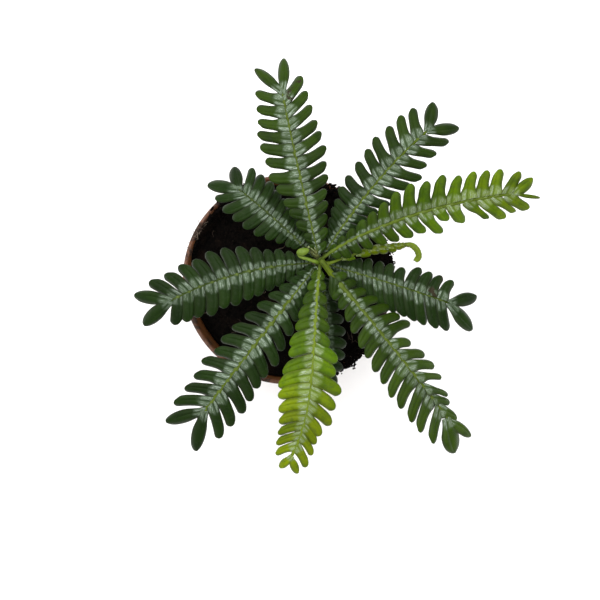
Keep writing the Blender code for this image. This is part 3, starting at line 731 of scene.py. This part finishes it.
def blade_material(name, dark, lime, bloom_sheen, bloom_sheen_lime, sheen_highlight, margin, sides, gloss):
    """Upper or lower side of a leaflet, from a few colours."""
    made, surface, where = new_material(name, gloss, 0.09)
    along, across, tone, youth, worn, bloom = attributes(
        where, "along", "across", "tone", "lime", "worn", "bloom",
    )
    inputs = {"Along": along, "Across": across, "Tone": tone, "Vector": where}
    marks = place("Group", inputs, node_tree=blade_marks).outputs
    green = tint(youth, dark, lime)
    half_ripe = scaled(youth, one_less(youth))
    green = tint(scaled(half_ripe, 2.4), green, (0.062, 0.138, 0.0003))
    green = tint(scaled(marks["Sides"], scaled(worn, 1.1)), green, sides)
    deep = tint(1.0, green, (0.62, 0.70, 0.45), "MULTIPLY")
    green = tint(mask(mottle(where, 190, 4), 0.42, 0.66), green, deep)
    green = tint(scaled(marks["Veins"], 0.16), green, deep)
    dust = mask(mottle(where, 760, 5, 0.7), 0.50, 0.68)
    green = tint(scaled(dust, 0.32), green, sides)
    # The silver, the leaflet's own bloom under a painted sheen, with streaks of painted highlight
    # and dark cracks that follow each leaflet.
    sheen_colour = tint(scaled(youth, 1.5, 0.05, clamp=True), bloom_sheen, bloom_sheen_lime)
    own = place("CombineXYZ", {0: scaled(along, 2.5), 1: across, 2: tone}).outputs[0]
    own = stretched(own, 1, 5, 60)
    streaks = mottle(own, 2.6, 5, 0.7, 0.4)
    highlight_streaks = scaled(marks["Panel"], mask(streaks, 0.47, 0.60))
    sheen_colour = tint(scaled(highlight_streaks, scaled(marks["Rear"], 0.45, 0.5)), sheen_colour, sheen_highlight)
    cracks = sums("ABSOLUTE", sums("SUBTRACT", mottle(own, 3.4, 3, 0.5, 1.2), 0.5))
    sheen_colour = tint(scaled(one_less(mask(cracks, 0, 0.035)), 0.6), sheen_colour, dark)
    # bloom scales the silver: the leaflet's own bloom and the painted sheen together.
    bloom = scaled(scaled(marks["Silver"], bloom), scaled(marks["Panel"], 0.4, 0.6))
    bloom = scaled(bloom, scaled(mask(streaks, 0.3, 0.5), 0.45, 0.6))
    colour = tint(bloom, green, sheen_colour)
    # A faint dark midrib over the whole leaflet, and across the silver a stronger dark line:
    # painted shade in the midrib's groove, between the two patches of painted sheen.
    line = scaled(marks["Midrib"], scaled(marks["Silver"], 0.5, 0.15))
    colour = tint(line, colour, deep)
    # The margin: a thin dark grey line of painted shade and a painted grey reflection where the
    # edge turns down; on lime leaves it goes pale lime, their own pale margin.
    edge = tint(scaled(youth, 0.9), margin, (0.148, 0.183, 0.022))
    colour = tint(scaled(marks["Margin"], 0.55), colour, edge)
    # Each leaflet is a little lighter or darker, finely grained, and worn in spots.
    cells = mottle(where, 2400, 3)
    light = scaled(cells, 0.2, scaled(tone, 0.42, 0.70))
    grey = place("CombineColor", {0: light, 1: light, 2: light}).outputs[0]
    colour = tint(1.0, colour, grey, "MULTIPLY")
    blot = mask(scaled(mottle(where, 330, 4, 0.6), worn), 0.42, 0.50)
    spots = sums("MAXIMUM", blot, specks_on(where, 800, 0.10, 0.35))
    colour = tint(spots, colour, (0.022, 0.017, 0.008))
    relief = scaled(marks["Midrib"], -0.8, scaled(marks["Veins"], -0.5, scaled(cells, 0.5)))
    roughness = scaled(cells, 0.12, scaled(marks["Silver"], 0.14, gloss))
    finish_skin(surface, colour, relief, 0.09 * MM, 0.8, roughness)
    return made


leaf_upper = blade_material(
    "leaf_upper_side", dark=(0.0068, 0.0200, 0.0005), lime=(0.1305, 0.1783, 0.0003),
    bloom_sheen=(0.057, 0.085, 0.050), bloom_sheen_lime=(0.155, 0.212, 0.050),
    sheen_highlight=(0.33, 0.39, 0.33), margin=(0.0261, 0.0322, 0.0191),
    sides=(0.027, 0.038, 0.018), gloss=0.36,
)
leaf_under = blade_material(
    "leaf_under_side", dark=(0.0305, 0.0539, 0.0174), lime=(0.1305, 0.1914, 0.0261),
    bloom_sheen=(0.0653, 0.0957, 0.0478), bloom_sheen_lime=(0.1479, 0.2088, 0.0522),
    sheen_highlight=(0.1044, 0.1479, 0.0696), margin=(0.0435, 0.0566, 0.0305),
    sides=(0.0391, 0.0609, 0.0244), gloss=0.6,
)
stalk_skin, surface, where = new_material("leaf_rachis", 0.5, 0.07)
across, knots, youth = attributes(where, "across", "tone", "lime")
streak = mottle(where, 600, 4)
colour = tint(mask(streak, 0.35, 0.65), (0.013, 0.025, 0.003), (0.030, 0.048, 0.009))
colour = tint(youth, colour, (0.120, 0.172, 0.010))
joint = scaled(knots, scaled(streak, 2.4, -0.7, clamp=True))
colour = tint(joint, colour, (0.082, 0.116, 0.024))
# Dark grooves on both sides of the ridge, weaker on the joints and where the stalk is lime.
groove = sums("ABSOLUTE", sums("SUBTRACT", sums("ABSOLUTE", across), 0.55))
groove = scaled(one_less(mask(groove, 0.04, 0.22)), mask(mottle(where, 1300, 3), 0.36, 0.56))
groove = scaled(groove, scaled(joint, -0.6, 0.85))
groove = scaled(groove, scaled(youth, -0.7, 1))
colour = tint(groove, colour, (0.0060, 0.0120, 0.0020))
colour = tint(specks_on(where, 1300, 0.2, 0.4), colour, (0.0522, 0.0391, 0.013))
finish_skin(surface, colour, streak, 0.08 * MM)
LEAF_SKINS = [leaf_upper, stalk_skin, leaf_under]


def grow_leaf(
    name, heading, reach, foot, rise, arch, petiole, breadth, rachis_lime, leaflets, bow=0,
    bow_at=0.5, bank=0, perched=0, first_raised=0, starts=0.01, stalk=1, sweep=(0.12, 0.14),
    droop=0.2, lime=(0, 0), turns_lime=(0.3, 0.8), bloom=1, worn=0.4, odd=None,
):
    """A full-grown leaf, in the place of its CAD node."""
    bm = bmesh.new()
    layers = blade_layers(bm)
    bearing = math.radians(heading)
    ahead = Vector((math.cos(bearing), math.sin(bearing), 0))
    left = Vector((-ahead.y, ahead.x, 0))
    foot_lime, stalk_lime = rachis_lime

    def route(share):
        """Point on the rachis, from the stem's axis at 0 to the last pair at 1."""
        bent = max(share, 0) ** (math.log(0.5) / math.log(bow_at))
        sideways = bow * 4 * bent * (1 - bent)
        height = foot + rise * share + arch * 4 * share * (1 - share)
        height += perched * (1 - soft_step(share, 0, PETIOLE_TO))
        return CROWN + (ahead * reach * share + left * sideways) * MM + Vector((0, 0, height * MM))

    def stalk_youth(share):
        """How lime the rachis is: it darkens into the crown, and changes past the petiole."""
        beyond = stalk_lime + (foot_lime - stalk_lime) * (1 - soft_step(share, 0.05, 0.17))
        return beyond * (0.35 + 0.65 * soft_step(share, 0.01, 0.12))

    nodes = [row[0] for row in leaflets]
    grow_rachis(
        bm, layers, route, starts, nodes[-1] + 0.6 / reach, nodes,
        lambda share: stalk_size(RACHIS_WIDE, share, petiole, stalk),
        lambda share: stalk_size(RACHIS_TALL, share, petiole, stalk), stalk_youth,
    )
    for i, (share, *sizes) in enumerate(leaflets):
        gap = (nodes[i] - nodes[i - 1] if i else nodes[1] - nodes[0]) * reach
        lie = lie_of(route, share, bank)
        raised = first_raised if i == 0 else 0
        for column, side in enumerate((1, -1)):
            length, angle = sizes[2 * column:2 * column + 2]
            length = length * LONGER[0] + LONGER[1]
            slimness, twist, *spoilt = (odd or {}).get((i - len(leaflets), side), (1, 0))
            if i < len(leaflets) - 1:
                widest = min(breadth[column] * WIDER, gap * WIDEST_IN_GAP) * slimness
                at_foot = gap * max(FOOT_IN_GAP[1], math.sin(math.radians(angle))) * FOOT_IN_GAP[0]
                tip = dict(tip_turn=TIP_TURN, tip_long=TIP_LONG, seat=1)
            else:
                widest = breadth[column] * LAST_WIDER * slimness
                at_foot = widest * LAST_FOOT
                length *= LAST_LONGER
                tip = dict(tip_turn=LAST_TIP_TURN, tip_long=LAST_TIP_LONG, reach_back=LAST_BACK)
            widest *= leaf_luck.uniform(0.96, 1.04)
            grow_leaflet(
                bm, layers, lie, side, length, angle, widest, at_foot, **tip,
                sweep=sweep[column] * leaf_luck.uniform(0.6, 1.4),
                droop=droop + leaf_luck.uniform(-0.05, 0.07), roll=leaf_luck.gauss(9, 3) + twist,
                tone=leaf_luck.random(), lifted=0.02 + 0.1 * (i % 2) + raised,
                lime=lime[0] + (lime[1] - lime[0]) * soft_step(share, *turns_lime),
                worn=spoilt[0] if spoilt else worn,
                bloom=bloom * leaf_luck.uniform(0.8, 1.1) * (RAISED_BLOOM_AND_SHEEN if raised else 1),
            )
    finish_piece(name + "_grown", bm, LEAF_SKINS, name, levels=1)


# heading, reach, bow, bow_at, foot, rise, arch and bank are as in the CAD, in degrees and mm from
# the stem's axis: direction, length, sideways bend and where it is most, height at the foot, rise
# to the tip, height of the arch, and how far the whole leaf tips sideways. perched: mm that its
# foot stands above the others. starts: share of the reach where the stalk begins. first_raised:
# mm by which the first pair stands higher, which then has little bloom and painted sheen. stalk
# and petiole: thickness of the rachis and of its bare foot against the usual. breadth and sweep:
# widest leaflets in mm, and how much they curve lengthways, left and right. droop: how far
# leaflets bend down, as a share of their length. lime: how lime the leaf is at its foot and its
# tip, which changes between the shares in turns_lime. rachis_lime: how lime the rachis is near its
# foot and beyond. bloom: strength of the silver, the leaflets' own bloom with a painted sheen of
# reflected light over it. worn: brown spots. odd: single leaflets, counted from the last pair,
# with 1 left and -1 right: breadth against the usual, degrees of twist and, if given, how worn.
# leaflets: share of the reach, then length in mm and angle to the rachis of the left leaflet and
# of the right one.
grow_leaf(
    "leaf_top", heading=103, reach=58, bow=1, foot=95, rise=3, arch=5.4, stalk=0.95, petiole=0.42,
    breadth=(3.5, 3.5), sweep=(0.08, 0.14), lime=(0.03, 0.05), rachis_lime=(0.3, 0.34),
    bloom=1.12,
    odd={(-2, -1): (1, 0, 0.8)},
    leaflets=(
        (0.062, 3, 57, 4, 67), (0.119, 3.9, 60, 5.4, 65), (0.187, 5.3, 65, 6.5, 66),
        (0.254, 6.5, 68, 7.4, 69), (0.325, 7.1, 77, 7.8, 72), (0.399, 8.4, 77, 9.4, 74),
        (0.471, 9.8, 79, 9.9, 73), (0.542, 10.1, 73, 11, 70), (0.616, 10.9, 72, 11.1, 64),
        (0.692, 10.9, 72, 10.4, 65), (0.768, 9.9, 72, 10.5, 57), (0.841, 9.6, 71, 10.5, 52),
        (0.914, 9.7, 61, 11.2, 43), (0.976, 11.5, 34, 12.1, 12),
    ),
)
grow_leaf(
    "leaf_upper_right", heading=50.5, reach=57.8, bow=2.3, foot=92.7, rise=3, arch=4.4, stalk=0.9,
    petiole=0.4, breadth=(3.4, 3.4), lime=(0, 0.03), rachis_lime=(0.3, 0.4), bloom=1.05,
    odd={(-1, 1): (1.25, 0), (-1, -1): (1.2, 0)},
    leaflets=(
        (0.082, 3.2, 60, 3, 72), (0.134, 4.4, 62, 4, 74), (0.186, 5.6, 65, 4.8, 76),
        (0.242, 6.6, 72, 5.6, 72), (0.302, 7, 81, 6, 70), (0.366, 8.4, 82, 7.1, 70),
        (0.432, 9, 79, 8.7, 67), (0.505, 9.6, 72, 9.4, 66), (0.578, 10.5, 66, 10.4, 64),
        (0.654, 11.2, 68, 11.3, 63), (0.735, 11.3, 60, 9.9, 58), (0.818, 11.4, 58, 10, 52),
        (0.9, 11, 54, 11.2, 43), (0.987, 9.9, 33, 10.8, 31),
    ),
)
grow_leaf(
    "leaf_right_lime", heading=19, reach=67, bow=4.1, bow_at=0.42, foot=97, rise=7, arch=5,
    bank=-32, starts=-0.02, stalk=0.95, petiole=0.7, breadth=(3.7, 3.3), sweep=(0.12, 0.12),
    droop=0.18, lime=(0.05, 0.85), turns_lime=(0.15, 0.95), rachis_lime=(0.8, 0.5),
    odd={
        (-1, -1): (0.5, 30), (-3, -1): (0.75, 12), (-5, -1): (0.72, 14), (-6, -1): (1.2, 4),
        (-7, -1): (1.1, 0),
    },
    leaflets=(
        (0.068, 2.2, 60, 3.4, 80), (0.111, 3.2, 63, 4.9, 84), (0.161, 3.8, 64, 5.2, 79),
        (0.215, 4.8, 65, 5.6, 74), (0.273, 5.5, 74, 6.3, 66), (0.331, 6.6, 78, 7.1, 63),
        (0.392, 8.4, 78, 7.7, 59), (0.456, 9.3, 77, 7.7, 56), (0.527, 8.8, 75, 9.5, 56),
        (0.599, 9.4, 74, 5.6, 57), (0.67, 8.3, 71, 7.4, 59), (0.748, 8.4, 75, 9.6, 42),
        (0.819, 8.1, 77, 11.1, 40), (0.881, 8.1, 74, 10, 33), (0.95, 7.9, 55, 9.8, 31),
        (0.988, 7.2, 30, 9.3, 10),
    ),
)
grow_leaf(
    "leaf_right_low", heading=-17, reach=47.5, foot=90.4, rise=0, arch=4.2, stalk=0.8,
    petiole=0.35, breadth=(3.7, 4.2), sweep=(0.22, 0.1), droop=0.22, rachis_lime=(0.2, 0.12),
    bloom=0.75, worn=0.66,
    odd={(-1, 1): (1.15, 4), (-1, -1): (1.15, 4), (-3, 1): (1, 0, 0.85)},
    leaflets=(
        (0.068, 3.2, 75, 3, 66), (0.119, 3.6, 84, 3.6, 64), (0.169, 3.8, 88, 4.4, 63),
        (0.224, 4.5, 88, 5.6, 63), (0.281, 5.1, 105, 7, 64), (0.347, 5.9, 105, 8.4, 64),
        (0.42, 6.1, 100, 9.4, 62), (0.493, 6.5, 96, 10.1, 60), (0.567, 6.3, 94, 10.5, 59),
        (0.645, 8.4, 77, 10.9, 59), (0.729, 8.1, 77, 10.9, 62), (0.816, 8.1, 78, 10.9, 60),
        (0.904, 8, 76, 10.6, 58), (0.983, 10.1, 30, 11.8, 25),
    ),
)
grow_leaf(
    "leaf_lower_right", heading=-51, reach=67.5, foot=94.1, rise=2, arch=5, bank=28, perched=4.2,
    starts=-0.004, first_raised=1.5, petiole=1.32, breadth=(3.2, 3.9), sweep=(0.12, 0.2),
    lime=(0.05, 0.09), rachis_lime=(1, 0.36), bloom=0.95,
    odd={
        (-1, -1): (1.6, -6), (-2, -1): (1.12, 4), (-3, 1): (0.8, 14), (-4, 1): (0.7, 24),
        (-5, 1): (0.75, 20),
    },
    leaflets=(
        (0.104, 4.4, 70, 7.6, 34), (0.16, 5.2, 74, 5, 76), (0.216, 6.1, 71, 5.4, 79),
        (0.275, 7.6, 71, 6.3, 76), (0.336, 9, 71, 7.3, 81), (0.399, 10.1, 71, 8.6, 75),
        (0.46, 11.3, 73, 9, 79), (0.521, 7.8, 58, 10.1, 77), (0.585, 9.9, 53, 10.5, 74),
        (0.65, 10.6, 51, 11.4, 72), (0.716, 10.1, 49, 11.3, 70), (0.784, 9.6, 35, 11.8, 63),
        (0.853, 7.4, 38, 11.5, 64), (0.923, 7.6, 23, 11.3, 53), (0.994, 10.6, 17, 10.8, 23),
    ),
)
grow_leaf(
    "leaf_bottom_lime", heading=-99, reach=64, bow=2.4, bow_at=0.72, foot=96, rise=5, arch=6.3,
    petiole=0.72, breadth=(4.5, 4.6), lime=(0.1, 1), turns_lime=(0.24, 0.74),
    rachis_lime=(0.65, 0.9),
    odd={
        (-1, 1): (0.55, 0), (-1, -1): (0.6, 0), (-2, 1): (0.7, 0), (-2, -1): (0.68, 0),
        (-3, 1): (0.7, 0), (-3, -1): (0.78, 0), (-4, 1): (0.75, 0), (-4, -1): (0.8, 0),
        (-5, 1): (0.8, 0), (-5, -1): (0.84, 0), (-6, 1): (0.85, 0), (-7, 1): (0.88, 0),
    },
    leaflets=(
        (0.066, 2.4, 62, 3, 56), (0.115, 3.1, 67, 4, 57), (0.177, 3.9, 64, 5.3, 56),
        (0.243, 4.8, 60, 6.4, 59), (0.309, 5.4, 66, 6.7, 68), (0.374, 6.1, 60, 8.4, 65),
        (0.435, 8.8, 66, 8.2, 70), (0.507, 8.4, 67, 10, 65), (0.58, 10.7, 68, 10.7, 69),
        (0.652, 9.8, 63, 10, 75), (0.719, 10, 59, 9.3, 71), (0.78, 7.9, 52, 8.5, 67),
        (0.831, 7.2, 51, 8.2, 59), (0.882, 7.4, 51, 7.9, 54), (0.936, 7.8, 49, 7, 46),
        (1.002, 5.4, 50, 4.5, 14),
    ),
)
grow_leaf(
    "leaf_shaded_small", heading=-84, reach=37.5, bow=1.2, bow_at=0.35, foot=88, rise=-8, arch=3,
    stalk=0.75, petiole=0.45, breadth=(3.9, 3.7), sweep=(0.05, 0.05), droop=0.3,
    rachis_lime=(0.1, 0.1), bloom=0.5,
    leaflets=(
        (0.176, 3.2, 84, 3.2, 84), (0.28, 4, 84, 4, 84), (0.385, 5, 84, 5, 84),
        (0.49, 6, 82, 6, 82), (0.595, 6.5, 81, 6.5, 80), (0.7, 6.8, 79, 6.8, 78),
        (0.8, 6.5, 75, 6.5, 74), (0.9, 6, 68, 6, 68), (0.985, 5.8, 34, 5.6, 34),
    ),
)
grow_leaf(
    "leaf_lower_left", heading=-127.5, reach=64.5, bow=-0.4, bow_at=0.6, foot=93, rise=1,
    arch=4.6, stalk=1.2, petiole=0.3, breadth=(3.7, 3.6), droop=0.22, rachis_lime=(0.3, 0.4),
    bloom=1.18,
    odd={(-1, 1): (1.16, 0), (-1, -1): (1.16, 0)},
    leaflets=(
        (0.05, 2.6, 60, 2.8, 70), (0.094, 3.4, 59, 3.7, 70), (0.143, 4.4, 61, 4.6, 69),
        (0.199, 5.9, 63, 5.6, 71), (0.264, 6.8, 69, 6.7, 74), (0.335, 8.1, 70, 7.6, 75),
        (0.407, 9.3, 65, 8.7, 73), (0.479, 10.7, 66, 9.8, 69), (0.551, 10.6, 61, 10.4, 68),
        (0.624, 10.5, 65, 9.8, 68), (0.695, 11.2, 66, 11.1, 69), (0.766, 11.7, 66, 10.7, 63),
        (0.835, 11.9, 59, 11, 60), (0.899, 12.2, 51, 12, 53), (0.96, 12.7, 23, 12.1, 37),
    ),
)
grow_leaf(
    "leaf_left", heading=-164.5, reach=53.4, bow=-3.1, bow_at=0.52, foot=89, rise=0.5, arch=4,
    petiole=0.4, breadth=(4.3, 4.2), sweep=(0.14, 0.12), droop=0.22, rachis_lime=(0.15, 0.06),
    bloom=0.8,
    leaflets=(
        (0.062, 3.2, 80, 3.2, 86), (0.11, 4.2, 80, 4, 88), (0.168, 5.6, 79, 4.7, 88),
        (0.231, 6.9, 77, 5.7, 88), (0.297, 7.7, 79, 6.1, 89), (0.367, 8.7, 78, 7.5, 87),
        (0.44, 9.2, 79, 8.9, 83), (0.517, 10, 76, 9.7, 80), (0.596, 9.7, 75, 10.2, 77),
        (0.678, 10.7, 73, 9.4, 74), (0.758, 9.8, 68, 9.8, 72), (0.83, 9.7, 66, 9.8, 63),
        (0.902, 9.1, 61, 10.7, 57), (0.958, 11, 12, 11.4, 37),
    ),
)
grow_leaf(
    "leaf_upper_left", heading=137.5, reach=37.4, bow=-0.2, foot=91.7, rise=-3.5, arch=4,
    stalk=0.8, petiole=0.4, breadth=(4.3, 4.1), sweep=(0.1, 0.1), droop=0.24,
    rachis_lime=(0.05, 0), bloom=0.75,
    leaflets=(
        (0.085, 2, 74, 3.4, 74), (0.13, 2.2, 80, 4, 77), (0.174, 2.4, 84, 4.6, 79),
        (0.241, 3.2, 84, 5.2, 78), (0.312, 3.9, 103, 4.7, 80), (0.389, 5.1, 96, 5.4, 79),
        (0.471, 6.6, 92, 6.5, 79), (0.552, 8.1, 86, 7.5, 78), (0.641, 8.9, 79, 8.6, 78),
        (0.73, 9.4, 72, 9.4, 76), (0.82, 9.9, 64, 9.5, 72), (0.893, 10, 48, 9.7, 64),
        (0.973, 10, 27, 8, 36),
    ),
)

# ------------------------------------------------------------
# Young leaf. The newest leaf, pale lime, its small leaflets still folded down like scales and
# its tip curled back.

YOUNG_ROUTE = (  # mm from the stem's axis, with heights from the ground
    (0.4, -0.6, 96.2), (2.6, -0.8, 95.9), (6.6, 0.6, 96.4), (12.0, 2.5, 97.0), (17.0, 4.0, 97.2),
    (22.5, 4.8, 97.4), (26.6, 5.5, 97.6), (29.8, 5.4, 97.6), (32.0, 3.8, 97.0), (32.8, 1.6, 96.0),
    (31.6, 0.2, 95.4),
)
YOUNG_LEAFLETS = (  # share of the route, length in mm, angle to the rachis, widest and fold
    (0.205, 4.9, 14, 2.3, 34), (0.290, 5.6, 16, 3.2, 34), (0.365, 4.8, 18, 3.4, 34),
    (0.425, 4.3, 19, 3.5, 34), (0.480, 4.1, 20, 3.4, 36), (0.535, 3.4, 20, 2.6, 46),
    (0.575, 2.7, 20, 2.0, 56), (0.612, 1.8, 22, 1.4, 62), (0.648, 1.6, 24, 1.2, 66),
    (0.684, 1.5, 24, 1.2, 66), (0.720, 1.5, 24, 1.2, 66), (0.756, 1.5, 24, 1.2, 66),
    (0.792, 1.4, 24, 1.2, 66), (0.828, 1.4, 24, 1.1, 66), (0.864, 1.3, 24, 1.1, 66),
    (0.900, 1.3, 24, 1.0, 66), (0.936, 1.2, 24, 1.0, 66),
)
UPPER_ROW_FOLD = 74  # degrees at least
UPPER_ROW_LENGTH = 0.62  # against the lower row's
YOUNG_FOOT = 0.62  # of the breadth
YOUNG_TIP_TURN = ((0, 90), (0.3, 90), (0.5, 76), (0.7, 58), (0.86, 40), (0.95, 24), (1, 8))
young_route = [CROWN + Vector(point) * MM for point in YOUNG_ROUTE]


def young_point(share):
    if share <= 1:
        return smooth_point(young_route, max(share, 0))
    last = smooth_point(young_route, 1)
    return last + (last - smooth_point(young_route, 0.99)) * (share - 1) * 100


young = bmesh.new()
layers = blade_layers(young)
grow_rachis(
    young, layers, young_point, 0, 1, [row[0] for row in YOUNG_LEAFLETS],
    lambda at: (0.78 - 0.40 * soft_step(at, 0.06, 0.2) + 0.60 * soft_step(at, 0.58, 0.76)) * MM,
    lambda at: (0.55 - 0.19 * soft_step(at, 0.03, 0.16) + 0.44 * soft_step(at, 0.58, 0.8)) * MM,
    lambda at: 0.7 + 0.3 * soft_step(at, 0.1, 0.5), steps=90,
)
for i, (share, length, angle, widest, fold) in enumerate(YOUNG_LEAFLETS):
    for side in (1, -1):
        upper = side == 1
        lie = lie_of(young_point, share, fold=max(fold, UPPER_ROW_FOLD) if upper else fold)
        grow_leaflet(
            young, layers, lie, side, length * (UPPER_ROW_LENGTH if upper else 1), angle, widest,
            widest * YOUNG_FOOT, sweep=-0.1, droop=0.16,
            roll=leaf_luck.gauss(0, 4), tone=leaf_luck.random(), lifted=0.1 + 0.06 * (i % 2),
            tip_turn=YOUNG_TIP_TURN, tip_long=LAST_TIP_LONG,
            lime=0.62 + 0.38 * soft_step(share, 0.2, 0.34), worn=0.4, bloom=0.9,
        )
finish_piece(
    "leaf_young_curled_grown", young, LEAF_SKINS, "leaf_young_curled", levels=1,
)

# ------------------------------------------------------------
# Flower bud. A closed pale yellow-green bud, wrapped in narrow sepals, on a short stalk, with
# dry olive-brown bracts round the top of the stem.

BUD_FROM = Vector((0.65, 6.4, 98.7)) * MM
BUD_TO = Vector((4.75, 7.5, 99.3)) * MM
BUD_RADIUS = 1.3 * MM
BUD_STALK = (
    (8.0, 3.6, 96.4), (7.0, 3.8, 97.3), (4.7, 4.5, 97.9), (2.6, 5.1, 98.0), (1.5, 5.7, 98.2),
    (1.2, 6.4, 98.7),
)

bud = bmesh.new()
bud_points = [Vector(point) * MM for point in BUD_STALK]
stalk_line = [smooth_point(bud_points, i / 24) for i in range(25)]
lay_fibre(bud, stalk_line, [(0.68 - 0.01 * i) * MM for i in range(25)], 12)
axis = BUD_TO - BUD_FROM
facing = Vector((0, 0, 1)).rotation_difference(axis)
made = bmesh.ops.create_uvsphere(bud, u_segments=30, v_segments=22, radius=1)["verts"]
for vert in made:
    around = math.atan2(vert.co.y, vert.co.x)
    end = vert.co.z
    fold = 1 + 0.05 * math.cos(5 * around + 1.2 * end) * (1 - end * end)
    slim = 1 - 0.16 * end
    local = Vector((vert.co.x, vert.co.y, 0)) * fold * slim * BUD_RADIUS
    local.z = end * axis.length / 2
    vert.co = (BUD_FROM + BUD_TO) / 2 + facing @ local
point_outwards(bud)

SECOND_BUD = Vector((4.6, 8.4, 98.8)) * MM
BRACTS = (  # foot, middle and tip in mm, then the widest radius
    ((7.6, 5.0, 96.6), (5.8, 7.0, 97.9), (3.6, 8.8, 98.4), 0.26),
    ((7.8, 5.2, 96.6), (6.6, 7.0, 98.2), (5.2, 8.2, 98.9), 0.30),
    ((7.4, 5.2, 96.4), (6.0, 6.2, 97.9), (4.6, 7.2, 98.5), 0.34),
    ((7.9, 5.4, 96.4), (7.2, 6.9, 98.0), (6.4, 8.5, 98.6), 0.28),
    ((7.6, 5.6, 96.2), (6.4, 6.4, 97.4), (5.6, 6.8, 98.2), 0.40),
    ((8.0, 5.3, 96.6), (7.4, 6.2, 97.8), (6.9, 7.0, 98.6), 0.36),
    ((7.8, 4.9, 96.8), (7.0, 5.8, 97.9), (6.0, 6.4, 98.8), 0.30),
)
bracts = bmesh.new()
for *route, widest in BRACTS:
    corners = [Vector(point) * MM for point in route]
    line = [smooth_point(corners, i / 10) for i in range(11)]
    turns = [math.pi * min(1, 0.25 + 0.75 * i / 10) for i in range(11)]
    swell = [widest * (0.45 + 0.55 * math.sin(turn)) for turn in turns]
    lay_fibre(bracts, line, [max(0.07, size) * MM for size in swell], 8)
made = bmesh.ops.create_icosphere(
    bracts, subdivisions=3, radius=0.42 * MM, matrix=Matrix.Translation(SECOND_BUD),
)["verts"]
for vert in made:
    vert.co.z += 0.25 * (vert.co.z - SECOND_BUD.z)
point_outwards(bracts)

bract_skin, surface, where = new_material("bract_skin", 0.6, 0.2)
streak = mottle(where, 900, 4)
colour = tint(mask(streak, 0.38, 0.62), (0.0391, 0.0452, 0.0104), (0.1131, 0.1305, 0.0391))
# Painted highlight: everything above 98.4 mm, the bract tips and the top of the small second bud,
# is lightened towards pale yellow-green.
high = mask(height_of(where), 0.0984, 0.0989)
colour = tint(scaled(high, 0.4), colour, (0.261, 0.3132, 0.1566))
colour = tint(specks_on(where, 1700, 0.3, 0.7), colour, (0.0305, 0.0191, 0.007))
finish_skin(surface, colour, streak, 0.12 * MM)
finish_piece("flower_bracts", bracts, [bract_skin], levels=1)

bud_skin, surface, where = new_material("bud_skin", 0.45, 0.2)
streak = mottle(where, 500, 4)
colour = tint(mask(streak, 0.35, 0.65), (0.074, 0.1261, 0.007), (0.125, 0.19, 0.022))
colour = tint(specks_on(where, 1500, 0.2, 0.4), colour, (0.1392, 0.1218, 0.0261))
finish_skin(surface, colour, streak, 0.1 * MM)
finish_piece("flower_bud_closed", bud, [bud_skin], "flower_bud", levels=1)

# ------------------------------------------------------------
# Floor, light and camera. A plain pale floor that runs out of view, a large soft light overhead
# with even light all round, and a camera nearly straight above the plant.

floor_mesh = bmesh.new()
bmesh.ops.create_grid(floor_mesh, x_segments=1, y_segments=1, size=3)
floor = loose_object("floor", floor_mesh)
floor_paint, surface, where = new_material("floor_paint", 0.9, 0.1)
colour = tint(mask(mottle(where, 30, 4), 0.3, 0.7), (0.93, 0.93, 0.93), (0.96, 0.96, 0.96))
colour.id_data.links.new(colour, surface["Base Color"])
floor.data.materials.append(floor_paint)
floor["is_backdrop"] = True

scene = bpy.context.scene
scene.view_settings.view_transform = "Standard"
world = bpy.data.worlds.new("studio")
scene.world = world
world.use_nodes = True
sky = world.node_tree.nodes["Background"].inputs
sky["Color"].default_value = (1, 1, 1, 1)
sky["Strength"].default_value = 0.71


def add_softbox(name, at, target, size, power):
    light = bpy.data.lights.new(name, "AREA")
    light.shape = "DISK"
    light.size = size
    light.energy = power
    made = bpy.data.objects.new(name, light)
    scene.collection.objects.link(made)
    at, target = Vector(at), Vector(target)
    made.location = at
    made.rotation_euler = (at - target).to_track_quat("Z", "Y").to_euler()


add_softbox("overhead", (-0.2, 0.25, 1.0), (0, 0, 0.07), 1.6, 21)

CAMERA_AT = Vector((-19.176, -18.972, 364.903)) * MM
CAMERA_RIGHT = Vector((0.99692, 0, 0.07839))
CAMERA_UP = Vector((-0.002995, 0.99927, 0.038089))
CAMERA_BACK = Vector((-0.078335, -0.038207, 0.996195))
lens = bpy.data.cameras.new("camera")
lens.sensor_width = 36
lens.lens = 49.455
lens.clip_start = 0.01
camera = bpy.data.objects.new("camera", lens)
scene.collection.objects.link(camera)
turn = Matrix((CAMERA_RIGHT, CAMERA_UP, CAMERA_BACK)).transposed()
camera.matrix_world = Matrix.Translation(CAMERA_AT) @ turn.to_4x4()
scene.camera = camera

visual_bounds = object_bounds()
boxes = {"cad": cad_bounds, "visual": visual_bounds}
{key: [list(corner) for corner in box] for key, box in boxes.items()}
